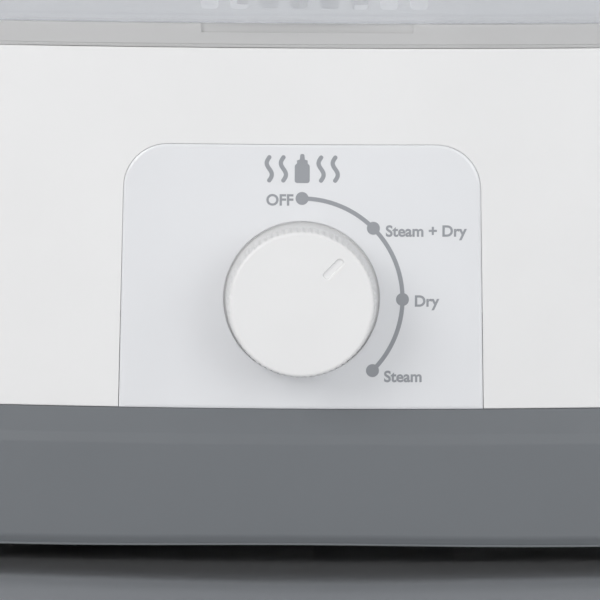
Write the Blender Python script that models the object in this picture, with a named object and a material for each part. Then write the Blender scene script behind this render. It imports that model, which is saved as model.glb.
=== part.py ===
"""Electric steam steriliser and dryer for baby bottles, with a rotary dial on the front.

Sizes are written in millimetres, and add() turns them into Blender's metres. +Z is up, the front with the
dial faces -Y, and the feet stand on z = 0. The base, the rack and the cover follow one plan outline, a
rounded rectangle with bowed sides, which is moved in or out to make walls, rims and lips.
"""

import math

import bmesh
import bpy
from mathutils import Matrix, Vector

MM = 0.001
GAP = 0.3  # between pieces that touch or rest on each other

# Plan outline of the white body at its lower edge
HALF_WIDTH, HALF_DEPTH = 146.0, 104.0
FRONT_RADIUS, SIDE_RADIUS, CORNER_RADIUS = 400.0, 420.0, 62.0
SIDE_STEPS, CORNER_STEPS, FRONT_STEPS = 2, 5, 3

# Heights
SEAM_Z = 36.5  # the grey housing meets the white body
LEDGE_Z = 28.8  # soft line along the grey housing
DECK_Z = 112.0  # floor of the steam chamber
RIM_Z = 120.8  # top of the white body
RACK_FLOOR_Z = 124.7
FLANGE_Z = 126.7  # top of the rack's flange, which the cover stands on
PEG_HEIGHT = 46.0
TRAY_FLOOR_Z, TRAY_TOP_Z = 286.5, 313.8
COVER_TOP_Z, HANDLE_TOP_Z = 334.0, 355.0

WALL = 2.5
DRAFT = 1.2  # the white body leans in by this much between seam and rim

# Dial and control panel
DIAL_Z = 62.3
DIAL_REST = math.radians(45)  # the pointer stands one step clockwise of OFF
KNOB_RADIUS, KNOB_HEIGHT, KNOB_GAP = 17.8, 13.4, 0.55
KNOB_RIDGES, RIDGE_DEPTH = 68, 0.3
WELL_DEPTH = 9.0
PANEL_TOP_Z, PANEL_CORNER = 98.2, 10.2
PANEL_HALF_LOW, PANEL_HALF_HIGH = 42.6, 41.5
PANEL_Y = HALF_DEPTH - DRAFT * (DIAL_Z - SEAM_Z) / (RIM_Z - SEAM_Z)  # its surface at the dial

# Rear gland for the mains lead
GLAND_X, GLAND_Z, GLAND_LENGTH = -35.0, 20.0, 15.1
GLAND_REACH = 110.5

# The body's middle is set back so that the dial in front and the gland behind reach equally far
BODY_Y = (PANEL_Y + KNOB_HEIGHT - GLAND_REACH) / 2

# Heating plate, and the strap that holds it up
PLATE_X = -45.0
PLATE_HOLE = 62.0
STRAP_Z, STRAP_REACH = 93.8, 70.0

# Blower, air heater, and the filter window behind them
BLOWER_X, BLOWER_Z = 75.0, 56.0
BLOWER_RADIUS, BLOWER_FRONT, BLOWER_DEPTH = 30.0, 42.0, 30.0
DUCT_Y = 57.0
FILTER_Z, FILTER_HALF_WIDTH, FILTER_HALF_HEIGHT = 60.0, 28.0, 22.0

# Board behind the front wall
BOARD_AT = (-78.0, -52.0, 16.0)
BOARD_SIZE = (76.0, 44.0, 1.6)

# Places of what repeats, from the body's middle
FEET = {
    "foot_front_left": (-104, -64),
    "foot_front_right": (104, -64),
    "foot_rear_left": (-104, 64),
    "foot_rear_right": (104, 64),
}
HOUSING_SCREWS = {
    "housing_screw_front_left": (-127, -30),
    "housing_screw_front_right": (127, -30),
    "housing_screw_rear_left": (-127, 30),
    "housing_screw_rear_right": (127, 30),
}
CLAMP_SCREWS = {"clamp_screw_left": PLATE_X - STRAP_REACH, "clamp_screw_right": PLATE_X + STRAP_REACH}
HANDLE_SCREWS = {"handle_screw_left": -38.0, "handle_screw_right": 38.0}
TRAY_POSTS = {"tray_post_left": -42.0, "tray_post_right": 42.0}
PEGS = [(x, y) for x in (-84, 0, 84) for y in (-40, 40)]

TOWARDS_USER = (math.pi / 2, 0, 0)  # turns local Z to -Y
TOWARDS_REAR = (-math.pi / 2, 0, 0)  # turns local Z to +Y, and local Y down

LOOKS = {  # colour, roughness, metallic
    "white_plastic": ((0.80, 0.80, 0.79), 0.42, 0.0),
    "panel_white": ((0.76, 0.78, 0.80), 0.30, 0.0),
    "grey_plastic": ((0.17, 0.185, 0.20), 0.40, 0.0),
    "frosted_plastic": ((0.50, 0.50, 0.50), 0.45, 0.0),
    "clear_plastic": ((0.62, 0.66, 0.72), 0.12, 0.0),
    "tray_plastic": ((0.72, 0.74, 0.77), 0.35, 0.0),
    "steel": ((0.60, 0.60, 0.60), 0.30, 1.0),
    "zinc_steel": ((0.55, 0.55, 0.53), 0.40, 1.0),
    "aluminium": ((0.65, 0.65, 0.66), 0.45, 1.0),
    "silicone": ((0.45, 0.46, 0.48), 0.60, 0.0),
    "rubber": ((0.05, 0.05, 0.055), 0.80, 0.0),
    "black_plastic": ((0.03, 0.03, 0.03), 0.45, 0.0),
    "circuit_board": ((0.03, 0.16, 0.07), 0.50, 0.0),
    "wire": ((0.70, 0.68, 0.62), 0.50, 0.0),
    "foam": ((0.10, 0.10, 0.10), 0.95, 0.0),
}


# ---------------------------------------------------------------- objects and materials


def look(name):
    """The material of that name, made on first use."""
    if name in bpy.data.materials:
        return bpy.data.materials[name]
    colour, roughness, metallic = LOOKS[name]
    material = bpy.data.materials.new(name)
    material.use_nodes = True
    shader = material.node_tree.nodes["Principled BSDF"]
    shader.inputs["Base Color"].default_value = (*colour, 1.0)
    shader.inputs["Roughness"].default_value = roughness
    shader.inputs["Metallic"].default_value = metallic
    return material


def carrier(name, location, rotation=(0, 0, 0)):
    """An empty that carries the pieces of one moving group, with its origin on the joint's axis."""
    empty = bpy.data.objects.new(name, None)
    empty.location = Vector(location) * MM
    empty.rotation_euler = rotation
    bpy.context.scene.collection.objects.link(empty)
    return empty


def add(name, mesh, material, parent, location=(0, 0, 0), rotation=(0, 0, 0)):
    """Links a bmesh as an object in metres, with its faces turned outwards."""
    bmesh.ops.scale(mesh, vec=(MM, MM, MM), verts=mesh.verts)
    bmesh.ops.recalc_face_normals(mesh, faces=mesh.faces)
    data = bpy.data.meshes.new(name)
    mesh.to_mesh(data)
    mesh.free()
    data.shade_smooth()
    data.set_sharp_from_angle(angle=math.radians(32))
    if material:
        data.materials.append(look(material))
    obj = bpy.data.objects.new(name, data)
    obj.parent = parent
    obj.location = Vector(location) * MM
    obj.rotation_euler = rotation
    bpy.context.scene.collection.objects.link(obj)
    return obj


def tool(name, mesh, parent, location=(0, 0, 0), rotation=(0, 0, 0)):
    """A hidden shape that a Boolean adds to a piece or takes away from it."""
    obj = add(name, mesh, None, parent, location, rotation)
    obj.hide_render = True
    obj.display_type = "WIRE"
    return obj


def boolean(target, operation, tools):
    for shape in tools:
        modifier = target.modifiers.new(f"{operation.lower()} {shape.name}", "BOOLEAN")
        modifier.operation = operation
        modifier.object = shape


def cut(target, *tools):
    boolean(target, "DIFFERENCE", tools)


def join(target, *tools):
    boolean(target, "UNION", tools)


def keep(target, *tools):
    boolean(target, "INTERSECT", tools)


# ---------------------------------------------------------------- shapes


def loft(rings, closed=False):
    """A solid through rings of equally many points, capped flat, or closed on itself like a tyre."""
    mesh = bmesh.new()
    loops = [[mesh.verts.new(point) for point in ring] for ring in rings]
    following = loops[1:] + (loops[:1] if closed else [])
    for lower, upper in zip(loops, following):
        for i in range(len(lower)):
            j = (i + 1) % len(lower)
            mesh.faces.new((lower[i], lower[j], upper[j], upper[i]))
    if not closed:
        mesh.faces.new(loops[0])
        mesh.faces.new(loops[-1])
    return mesh


def circle(radius, height, sides):
    turns = [2 * math.pi * i / sides for i in range(sides)]
    return [(radius * math.cos(t), radius * math.sin(t), height) for t in turns]


def turned(profile, sides=24, closed=False):
    """A solid turned about its Z axis from (radius, height) points."""
    return loft([circle(radius, height, sides) for radius, height in profile], closed)


def rod(radius, low, high, sides=16):
    return turned([(radius, low), (radius, high)], sides)


def prism(points, low, high):
    """A flat outline extruded along Z."""
    return loft([[(x, y, z) for x, y in points] for z in (low, high)])


def blocks(boxes):
    """Boxes that don't touch each other, as one mesh. Each is (size, centre, turn about Z)."""
    mesh = bmesh.new()
    for size, centre, turn in boxes:
        made = bmesh.ops.create_cube(mesh, size=1.0)["verts"]
        bmesh.ops.scale(mesh, vec=size, verts=made)
        bmesh.ops.rotate(mesh, matrix=Matrix.Rotation(turn, 3, "Z"), verts=made)
        bmesh.ops.translate(mesh, vec=centre, verts=made)
    return mesh


def block(size, centre=(0, 0, 0)):
    return blocks([(size, centre, 0)])


def around(count, radius, size, height, skew=0.0):
    """Boxes set evenly round a circle, their X sides pointing out from its middle, or skewed from that."""
    turns = [2 * math.pi * i / count for i in range(count)]
    return [(size, (radius * math.cos(t), radius * math.sin(t), height), t + skew) for t in turns]


def corner_centre():
    """Middle of the corner arc, which is tangent to the side arc and to the front arc."""
    side = Vector((HALF_WIDTH - SIDE_RADIUS, 0))
    front = Vector((0, HALF_DEPTH - FRONT_RADIUS))
    to_side, to_front = SIDE_RADIUS - CORNER_RADIUS, FRONT_RADIUS - CORNER_RADIUS
    between = front - side
    along = (to_side**2 - to_front**2 + between.length_squared) / (2 * between.length)
    across = math.sqrt(to_side**2 - along**2)
    unit = between.normalized()
    return side + along * unit + across * Vector((-unit.y, unit.x))


def quarter(inset):
    """The outline's first quarter, from the middle of the right side to just before the back's middle."""
    corner = corner_centre()
    side = Vector((HALF_WIDTH - SIDE_RADIUS, 0))
    front = Vector((0, HALF_DEPTH - FRONT_RADIUS))
    low = math.atan2(corner.y - side.y, corner.x - side.x)
    high = math.atan2(corner.y - front.y, corner.x - front.x)
    arcs = (
        (side, SIDE_RADIUS, 0.0, low, SIDE_STEPS),
        (corner, CORNER_RADIUS, low, high, CORNER_STEPS),
        (front, FRONT_RADIUS, high, math.pi / 2, FRONT_STEPS),
    )
    points = []
    for centre, radius, start, end, steps in arcs:
        for i in range(steps):
            turn = start + (end - start) * i / steps
            reach = radius - inset
            points.append((centre.x + reach * math.cos(turn), centre.y + reach * math.sin(turn)))
    return points


def outline(inset=0.0):
    """The plan outline, anticlockwise from the middle of the right side, moved in by inset."""
    right_back = quarter(inset) + [(0.0, HALF_DEPTH - inset)]
    back_left = [(-x, y) for x, y in reversed(right_back[1:-1])]
    half = right_back + back_left
    return half + [(-x, -y) for x, y in half]


def shell(profile, closed=False):
    """A solid that follows the plan outline through (inset, height) points."""
    return loft([[(x, y, height) for x, y in outline(inset)] for inset, height in profile], closed)


# ---------------------------------------------------------------- grey housing, feet and screws


def bottom_housing(base):
    """Grey tray: floor, walls with a soft ledge, and a tongue that locates the white body."""
    profile = [
        (1.8, 7.0),
        (1.8, 33.0),
        (4.6, 34.6),
        (4.6, SEAM_Z + 3.0),
        (2.8, SEAM_Z + 3.0),
        (2.8, SEAM_Z),
        (0.1, SEAM_Z),
        (-0.25, SEAM_Z - 0.4),
        (-0.9, LEDGE_Z),
        (-0.7, 7.6),
        (0.2, 5.3),
        (1.8, 4.5),
    ]
    housing = add("bottom_housing", shell(profile), "grey_plastic", base)
    for name, (x, y) in HOUSING_SCREWS.items():
        join(housing, tool(f"pad_{name}", rod(6.5, 6, 11.5, 12), base, (x, y, 0)))
    board_x, board_y, board_z = BOARD_AT
    for i, (x, y) in enumerate([(-32, -17), (32, -17), (-32, 17), (32, 17)]):
        post = tool(f"board_post_{i}", rod(3, 6, board_z - GAP, 8), base, (board_x + x, board_y + y, 0))
        join(housing, post)
    join(housing, tool("gland_pad", rod(9.5, 98.8, 104.8, 20), base, (GLAND_X, 0, GLAND_Z), TOWARDS_REAR))
    for name, (x, y) in HOUSING_SCREWS.items():
        stepped = turned([(4.1, 3), (4.1, 9), (2.1, 9), (2.1, 13)], 12)
        cut(housing, tool(f"well_{name}", stepped, base, (x, y, 0)))
    for name, (x, y) in FEET.items():
        cut(housing, tool(f"hole_{name}", rod(3.1, 3, 8, 12), base, (x, y, 0)))
    vents = [((34, 2.4, 8), (20, y, 5.5), 0) for y in range(-66, -29, 6)]
    cut(
        housing,
        tool("gland_hole", rod(6.3, 94, 110), base, (GLAND_X, 0, GLAND_Z), TOWARDS_REAR),
        tool("floor_vents", blocks(vents), base),
    )


def feet(base):
    """Rubber feet with a stud that snaps into the floor."""
    profile = [(8.2, 0), (9, 0.8), (9, 4.2), (2.8, 4.2), (2.8, 7.6), (4.2, 7.6), (3, 10)]
    for name, (x, y) in FEET.items():
        add(name, turned(profile, 16), "rubber", base, (x, y, 0))


def screw(name, parent, location, head, shank, length):
    """A pan-head screw that points up, with a hexagonal socket. The location is under its head."""
    profile = [
        (head * 0.75, -head * 0.62),
        (head, -head * 0.30),
        (head, 0),
        (shank, 0),
        (shank, length * 0.86),
        (shank * 0.4, length),
    ]
    made = add(name, turned(profile, 12), "zinc_steel", parent, location)
    cut(made, tool(f"socket_{name}", rod(head * 0.4, -head, -head * 0.25, 6), parent, location))


def cord_gland(base):
    """Rubber bush in the rear wall, with a bore for the mains lead."""
    profile = [
        (8.2, 0),
        (8.2, 2.0),
        (6.0, 2.3),
        (6.0, 9.4),
        (8.4, 9.4),
        (8.4, 11.8),
        (6.6, GLAND_LENGTH),
        (3.6, GLAND_LENGTH),
        (3.6, 0),
    ]
    place = (GLAND_X, GLAND_REACH - GLAND_LENGTH, GLAND_Z)
    add("cord_gland", turned(profile, 16, closed=True), "rubber", base, place, TOWARDS_REAR)


# ---------------------------------------------------------------- white body and control panel


def panel_cutter(name, base, grow):
    """The panel seen from the front, with sides that lean in and round upper corners, as a long prism.

    Grown, it is the notch that the panel stands in, and runs out through the body's lower edge.
    """
    low, high = PANEL_HALF_LOW + grow, PANEL_HALF_HIGH + grow
    radius, top = PANEL_CORNER + grow, PANEL_TOP_Z + grow
    right = [(low, SEAM_Z - 5 if grow else SEAM_Z + GAP)]
    steps = 6
    for i in range(steps + 1):
        turn = math.pi / 2 * i / steps
        right.append((high - radius + radius * math.cos(turn), top - radius + radius * math.sin(turn)))
    points = right + [(-x, z) for x, z in reversed(right)]
    return tool(name, prism(points, 84, 112), base, rotation=TOWARDS_USER)


def filter_cutter(name, parent, grow, location=(0, 0, 0)):
    """The filter window as a block through the rear wall."""
    size = (2 * (FILTER_HALF_WIDTH + grow), 30, 2 * (FILTER_HALF_HEIGHT + grow))
    return tool(name, block(size, (BLOWER_X, 92, FILTER_Z)), parent, location)


def wall_band():
    """A band as thick as the white body's wall, which the panel and the filter cover are cut from."""
    low, high, thickness = SEAM_Z - 0.5, RIM_Z - 0.8, 2.4
    return shell([(0, low), (DRAFT, high), (thickness + DRAFT, high), (thickness, low)], closed=True)


def body_shell(base):
    """White upper shell: outer wall, rim, and the sunken deck of the chamber."""
    profile = [
        (5.5, DECK_Z - WALL),
        (5.5, RIM_Z - WALL),
        (WALL + DRAFT, RIM_Z - WALL),
        (WALL, SEAM_Z + GAP),
        (0.0, SEAM_Z + GAP),
        (DRAFT, RIM_Z - 0.9),
        (DRAFT + 0.3, RIM_Z - 0.25),
        (DRAFT + 1.0, RIM_Z),
        (8.0, RIM_Z),
        (8.6, DECK_Z),
    ]
    white = add("body_shell", shell(profile), "white_plastic", base)
    for name, (x, y) in HOUSING_SCREWS.items():
        join(white, tool(f"tower_{name}", turned([(4.2, 12), (5, 110.5)], 12), base, (x, y, 0)))
    for name, x in CLAMP_SCREWS.items():
        join(white, tool(f"hanger_{name}", turned([(4.4, 95), (4.8, 110.5)], 12), base, (x, 0, 0)))
    for name, (x, y) in HOUSING_SCREWS.items():
        cut(white, tool(f"bore_{name}", rod(1.8, 10, 30, 12), base, (x, y, 0)))
    for name, x in CLAMP_SCREWS.items():
        cut(white, tool(f"bore_{name}", rod(1.5, 92, 107, 12), base, (x, 0, 0)))
    cut(
        white,
        tool("plate_hole", rod(PLATE_HOLE, 105, 116, 40), base, (PLATE_X, 0, 0)),
        tool("air_hole", block((38, 26, 12), (BLOWER_X, DUCT_Y, DECK_Z - 1)), base),
        filter_cutter("filter_hole", base, 0.0),
        panel_cutter("panel_notch", base, GAP),
    )


def control_panel(base):
    """Cool white insert in the front wall, with the well that the dial turns in."""
    panel = add("control_panel", wall_band(), "panel_white", base)
    keep(panel, panel_cutter("panel_plate", base, 0.0))
    place = (0, -PANEL_Y, DIAL_Z)
    inner = KNOB_RADIUS + KNOB_GAP
    join(panel, tool("cup", rod(inner + 1.7, -WELL_DEPTH - 2, -1, 48), base, place, TOWARDS_USER))
    cut(
        panel,
        tool("well", rod(inner, -WELL_DEPTH, 5, 64), base, place, TOWARDS_USER),
        tool("bush_hole", rod(5.1, -WELL_DEPTH - 5, 0, 24), base, place, TOWARDS_USER),
    )


# ---------------------------------------------------------------- dial and switch


def ridged_circle(radius, height):
    """A ring of points that steps in and out, for the grip ridges."""
    points = []
    for i in range(2 * KNOB_RIDGES):
        turn = math.pi * i / KNOB_RIDGES
        reach = radius - RIDGE_DEPTH * (i % 2)
        points.append((reach * math.cos(turn), reach * math.sin(turn), height))
    return points


def dial_knob(dial):
    """Ridged knob with a flat face, a hollow back and a hub for the shaft. Local Z points at the user."""
    count = 2 * KNOB_RIDGES
    rings = [
        ridged_circle(KNOB_RADIUS, -7.2),
        ridged_circle(KNOB_RADIUS - 0.2, KNOB_HEIGHT - 1.8),
        circle(KNOB_RADIUS - 0.75, KNOB_HEIGHT - 0.6, count),
        circle(KNOB_RADIUS - 1.7, KNOB_HEIGHT, count),
    ]
    knob = add("dial_knob", loft(rings), "white_plastic", dial)
    cut(knob, tool("knob_hollow", turned([(15.4, -9), (15, KNOB_HEIGHT - 2.8)], 36), dial))
    join(knob, tool("knob_hub", turned([(5.6, -4.6), (5.9, KNOB_HEIGHT - 1.9)]), dial))
    length, width, reach = 5.9, 1.8, 11.1
    ends = [math.pi * i / 6 for i in range(7)]
    upper = [(width / 2 * math.cos(t), (length - width) / 2 + width / 2 * math.sin(t)) for t in ends]
    slot = prism(upper + [(-x, -y) for x, y in upper], KNOB_HEIGHT - 0.5, KNOB_HEIGHT + 2)
    place = (reach * math.sin(DIAL_REST), reach * math.cos(DIAL_REST), 0)
    cut(
        knob,
        tool("knob_bore", rod(3.3, -6, 9.5, 20), dial),
        tool("pointer_slot", slot, dial, place, (0, 0, -DIAL_REST)),
    )


def switch_shaft(dial):
    """Shaft with a flat, from the knob's hub into the switch."""
    shaft = add("switch_shaft", turned([(2.6, -21), (3, -20.5), (3, 8.4), (2.6, 8.9)], 20), "steel", dial)
    cut(shaft, tool("shaft_flat", block((8, 3, 16), (0, 3.7, 4.6)), dial, rotation=(0, 0, -DIAL_REST)))


def rotary_switch(base):
    """Four-position mains switch, with a threaded bush through the well's floor, and its nut."""
    place = (0, -PANEL_Y, DIAL_Z)
    depth = 15
    front = -(WELL_DEPTH + 2 + GAP)
    case = block((27, 27, depth), (0, 0, front - depth / 2))
    switch = add("rotary_switch", case, "black_plastic", base, place, TOWARDS_USER)
    tags = [((5, 0.8, 7), (x, 6, front - depth - 1.7), 0) for x in (-8, 0, 8)]
    join(
        switch,
        tool("switch_bush", rod(4.7, front - 1.7, -5.2, 24), base, place, TOWARDS_USER),
        tool("switch_tags", blocks(tags), base, place, TOWARDS_USER),
    )
    cut(switch, tool("switch_bore", rod(3.35, -22.5, -4, 20), base, place, TOWARDS_USER))
    nut = add("switch_nut", rod(7.2, -8.7, -6.4, 6), "zinc_steel", base, place, TOWARDS_USER)
    cut(nut, tool("nut_hole", rod(5, -10, -5, 20), base, place, TOWARDS_USER))


# ---------------------------------------------------------------- electronics


def electronics(base):
    """Board on its posts with the relay, the terminal block and a capacitor."""
    x, y, z = BOARD_AT
    thickness = BOARD_SIZE[2]
    top = z + thickness + GAP
    add("control_board", block(BOARD_SIZE, (x, y, z + thickness / 2)), "circuit_board", base)
    add("relay", block((19, 15.5, 15.5), (x - 22, y + 6, top + 15.5 / 2)), "black_plastic", base)
    terminal = add("terminal_block", block((30, 10, 12), (x + 14, y + 14, top + 6)), "white_plastic", base)
    holes = [((4, 6, 5), (x + 14 + step, y + 18, top + 5), 0) for step in (-9, 0, 9)]
    cut(terminal, tool("terminal_holes", blocks(holes), base))
    can = turned([(4.6, 0), (5, 0.6), (5, 17), (4.4, 17.6)], 20)
    add("board_capacitor", can, "black_plastic", base, (x + 4, y - 10, top))


def smooth_route(points, steps=4):
    """Points along a smooth curve through the given ones."""
    stops = [Vector(p) for p in points]
    padded = [stops[0] * 2 - stops[1], *stops, stops[-1] * 2 - stops[-2]]
    route = []
    for before, start, end, after in zip(padded, padded[1:], padded[2:], padded[3:]):
        for i in range(steps):
            t = i / steps
            slope = (end - before) * t
            bend = (2 * before - 5 * start + 4 * end - after) * t**2
            twist = (3 * start - before - 3 * end + after) * t**3
            route.append(start + (slope + bend + twist) / 2)
    return route + [stops[-1]]


def lead(name, base, points, radius=1.2):
    """An insulated wire inside the base."""
    route = smooth_route(points)
    curve = bpy.data.curves.new(name, "CURVE")
    curve.dimensions = "3D"
    curve.bevel_depth = radius * MM
    curve.bevel_resolution = 2
    curve.use_fill_caps = True
    spline = curve.splines.new("POLY")
    spline.points.add(len(route) - 1)
    for point, place in zip(spline.points, route):
        point.co = (*(place * MM), 1)
    curve.materials.append(look("wire"))
    obj = bpy.data.objects.new(name, curve)
    obj.parent = base
    bpy.context.scene.collection.objects.link(obj)


def wiring(base):
    """Leads from the board to the heater and to the blower, as (x, y, z) stops."""
    live = [(-64, -30.5, 28), (-64, -22, 34), (-70, -12, 60), (-63, -12, 84), (-60, -12, 93)]
    neutral = [(-55, -30.5, 28), (-50, -20, 36), (-36, -10, 62), (-33, -12, 84), (-30, -12, 93)]
    blower_run = [(-42, -46, 21), (-20, -40, 14), (20, -24, 12), (52, -4, 18), (66, 6, 36), (74, 13, 48)]
    lead("heater_lead_live", base, live)
    lead("heater_lead_neutral", base, neutral)
    lead("blower_lead", base, blower_run)


# ---------------------------------------------------------------- heating plate


def heating_group(base):
    """Water dish with its seal, the heating ring under it, the sensors, and the strap that holds them up."""
    middle = (PLATE_X, 0, 0)
    dish = [
        (49, 103.5),
        (55.5, 107),
        (57.5, 110),
        (57.5, 113.4),
        (56, 113.4),
        (56, 110.4),
        (54.4, 108.2),
        (48.5, 105),
    ]
    seal = [
        (57.9, 107.8),
        (PLATE_HOLE - GAP, 107.8),
        (PLATE_HOLE - GAP, DECK_Z + GAP),
        (65.5, DECK_Z + GAP),
        (65.2, 113.6),
        (60, 114.3),
        (57.9, 114),
    ]
    ring = [(30, 95), (42, 95), (43, 97), (41, 103.2), (31, 103.2), (29, 97)]
    add("heating_plate", turned(dish, 40), "steel", base, middle)
    add("plate_seal", turned(seal, 40, closed=True), "silicone", base, middle)
    element = add("heating_element", turned(ring, 32, closed=True), "aluminium", base, middle)
    stubs = [((3, 3, 6), (x, -33, 93.5), 0) for x in (-8, 8)]
    join(element, tool("element_stubs", blocks(stubs), base, middle))
    thermostat = turned([(8, 95.2), (8.6, 97), (8.6, 101), (6.5, 103.2)])
    add("plate_thermostat", thermostat, "aluminium", base, (PLATE_X - 12, 0, 0))
    fuse = turned([(1.6, -11), (2.6, -9), (2.6, 9), (1.6, 11)], 14)
    add("thermal_fuse", fuse, "white_plastic", base, (PLATE_X + 12, 0, 100.2), TOWARDS_USER)
    strap = add("plate_clamp", block((154, 13, 1.6), (PLATE_X, 0, STRAP_Z)), "zinc_steel", base)
    holes = [((4, 4, 6), (x, 0, STRAP_Z), math.pi / 4) for x in CLAMP_SCREWS.values()]
    cut(strap, tool("strap_holes", blocks(holes), base))
    for name, x in CLAMP_SCREWS.items():
        screw(name, base, (x, 0, STRAP_Z - 0.8 - GAP), head=3.2, shank=1.2, length=12)


# ---------------------------------------------------------------- drying air


def scroll_outline(grow=0.0):
    """The blower's case from the rear: round below, with a straight duct going up on its right."""
    radius = BLOWER_RADIUS + grow
    duct_top = 40 if grow else 32
    steps = 14
    arc = []
    for i in range(steps + 1):
        turn = math.radians(27 - 207 * i / steps)
        arc.append((radius * math.cos(turn), radius * math.sin(turn)))
    return arc + [(-radius, duct_top), (arc[0][0], duct_top)]


def blower(base):
    """Scroll case with its mouth at the rear, the motor in front of it, and the air heater over its duct."""
    place = (BLOWER_X, BLOWER_FRONT, BLOWER_Z)
    depth, wall = BLOWER_DEPTH, 2
    outer = [(x, -z) for x, z in scroll_outline()]
    inner = [(x, -z) for x, z in scroll_outline(-wall)]
    case = add("blower_housing", prism(outer, 0, depth), "black_plastic", base, place, TOWARDS_REAR)
    cut(
        case,
        tool("scroll_inside", prism(inner, wall, depth - wall), base, place, TOWARDS_REAR),
        tool("scroll_mouth", rod(20, depth - 5, depth + 3, 32), base, place, TOWARDS_REAR),
        tool("scroll_axle_hole", rod(9, -3, 5, 24), base, place, TOWARDS_REAR),
    )
    can = turned([(13, -24), (14, -23), (14, -1.2), (8.6, -0.4), (8.6, 1.6)], 32)
    motor = add("blower_motor", can, "zinc_steel", base, place, TOWARDS_REAR)
    cut(motor, tool("motor_bore", rod(2, -16, 4), base, place, TOWARDS_REAR))
    heater_z = 95.8
    heater = add("air_heater", block((34, 24, 13), (BLOWER_X, DUCT_Y, heater_z)), "aluminium", base)
    slots = [((2.2, 20, 20), (BLOWER_X + x, DUCT_Y, heater_z), 0) for x in range(-13, 14, 4)]
    cut(heater, tool("heater_slots", blocks(slots), base))


def blower_wheel(rotor):
    """Drum wheel with its blades, and its axle. Local Z is the axle and points to the rear."""
    disc = [(3.2, 5), (24, 5), (24, 7), (8.5, 7.2), (7, 16), (3.2, 16)]
    hoop = [(17.5, 21), (23.8, 21), (23.8, 23), (17.5, 23)]
    blades = around(12, 20.2, (6, 1.2, 17), 14.5, skew=0.5)
    wheel = add("blower_wheel", turned(disc, 28, closed=True), "tray_plastic", rotor)
    join(
        wheel,
        tool("wheel_blades", blocks(blades), rotor),
        tool("wheel_hoop", turned(hoop, 28, closed=True), rotor),
    )
    add("blower_axle", rod(1.5, -14, 17, 14), "steel", rotor)


def air_outlet(base):
    """Low chimney on the deck that lets warm air out at its sides and keeps water out at its top."""
    flange = block((46, 34, 1.6), (BLOWER_X, DUCT_Y, DECK_Z + 1.1))
    outlet = add("air_outlet", flange, "white_plastic", base)
    windows = [((3, 40, 3.2), (BLOWER_X + x, DUCT_Y, 116.6), 0) for x in (-12, -6, 0, 6, 12)]
    join(outlet, tool("chimney", block((37, 25, 17), (BLOWER_X, DUCT_Y, 112.3)), base))
    cut(
        outlet,
        tool("chimney_inside", block((33, 21, 18), (BLOWER_X, DUCT_Y, 109.8)), base),
        tool("chimney_windows", blocks(windows), base),
    )


def filter_group(holder):
    """Louvred cover in the rear window, with a frame inside it for the foam. Both pull straight back."""
    place = Vector((0, BODY_Y, 0)) - holder.location / MM
    width, height = 2 * FILTER_HALF_WIDTH - 4, 2 * FILTER_HALF_HEIGHT - 4
    cover = add("filter_cover", wall_band(), "white_plastic", holder, place)
    keep(cover, filter_cutter("cover_window", holder, -GAP, place))
    join(cover, tool("filter_frame", block((width, 17, height), (BLOWER_X, 85, FILTER_Z)), holder, place))
    louvres = []
    for x in (-12.5, 12.5):
        for z in range(-12, 13, 4):
            louvres.append(((22, 30, 2), (BLOWER_X + x, 96, FILTER_Z + z), 0))
    inside = block((width - 3, 20, height - 3), (BLOWER_X, 79.5, FILTER_Z))
    cut(
        cover,
        tool("frame_inside", inside, holder, place),
        tool("louvres", blocks(louvres), holder, place),
    )
    foam = block((width - 3.6, 9, height - 3.6), (BLOWER_X, 82.5, FILTER_Z))
    add("air_filter", foam, "foam", holder, place)


# ---------------------------------------------------------------- rack, tray and cover


def peg(x, y):
    """A cross-shaped peg that a bottle is turned over, narrower at its top."""
    half = 1.1

    def cross(reach, z):
        side = [(reach, -half), (reach, half), (half, half), (half, reach), (-half, reach), (-half, half)]
        return [(x + px, y + py, z) for px, py in side] + [(x - px, y - py, z) for px, py in side]

    return loft([cross(12, RACK_FLOOR_Z - 1), cross(6, RACK_FLOOR_Z + PEG_HEIGHT)])


def bottle_rack(rack):
    """Frosted rack in the body's rim: flange, locating skirt, slotted floor, low basket wall and pegs."""
    profile = [
        (11.4, RACK_FLOOR_Z - 2.2),
        (11.4, DECK_Z + 2),
        (9.4, DECK_Z + 2),
        (9.0, RIM_Z + GAP),
        (2.2, RIM_Z + GAP),
        (1.7, RIM_Z + 0.7),
        (1.7, FLANGE_Z - 0.5),
        (2.3, FLANGE_Z),
        (9.6, FLANGE_Z),
        (10.4, 148),
        (12.2, 148),
        (11.6, RACK_FLOOR_Z),
    ]
    tub = add("bottle_rack", shell(profile), "frosted_plastic", rack)
    slots = []
    for i, (x, y) in enumerate(PEGS):
        join(tub, tool(f"peg_{i}", peg(x, y), rack))
        for size, (slot_x, slot_y, slot_z), turn in around(4, 23, (3.2, 14, 8), RACK_FLOOR_Z - 1.2):
            slots.append((size, (x + slot_x, y + slot_y, slot_z), turn))
    windows = [((32, 24, 8), (x, 0, RACK_FLOOR_Z - 1.2), 0) for x in (-84, 0, 84)]
    comb = [((4.2, 16, 13), (7 * (i - 3.5), y, 136), 0) for i in range(8) for y in (-92, 92)]
    notch = block((49.5, 12, 3), (0, -HALF_DEPTH + 0.5, FLANGE_Z - 0.6))
    relief = block((130, 14, 1.2), (0, -HALF_DEPTH + 2, RIM_Z))
    cut(
        tub,
        tool("floor_slots", blocks(slots), rack),
        tool("floor_windows", blocks(windows), rack),
        tool("wall_slots", blocks(comb), rack),
        tool("finger_notch", notch, rack),
        tool("lift_relief", relief, rack),
    )
    post = [(9.5, RACK_FLOOR_Z + GAP), (9.5, 127), (6.6, 129), (5.8, TRAY_FLOOR_Z - 5.1)]
    for name, x in TRAY_POSTS.items():
        add(name, turned(post, 16), "frosted_plastic", rack, (x, 0, 0))


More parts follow.
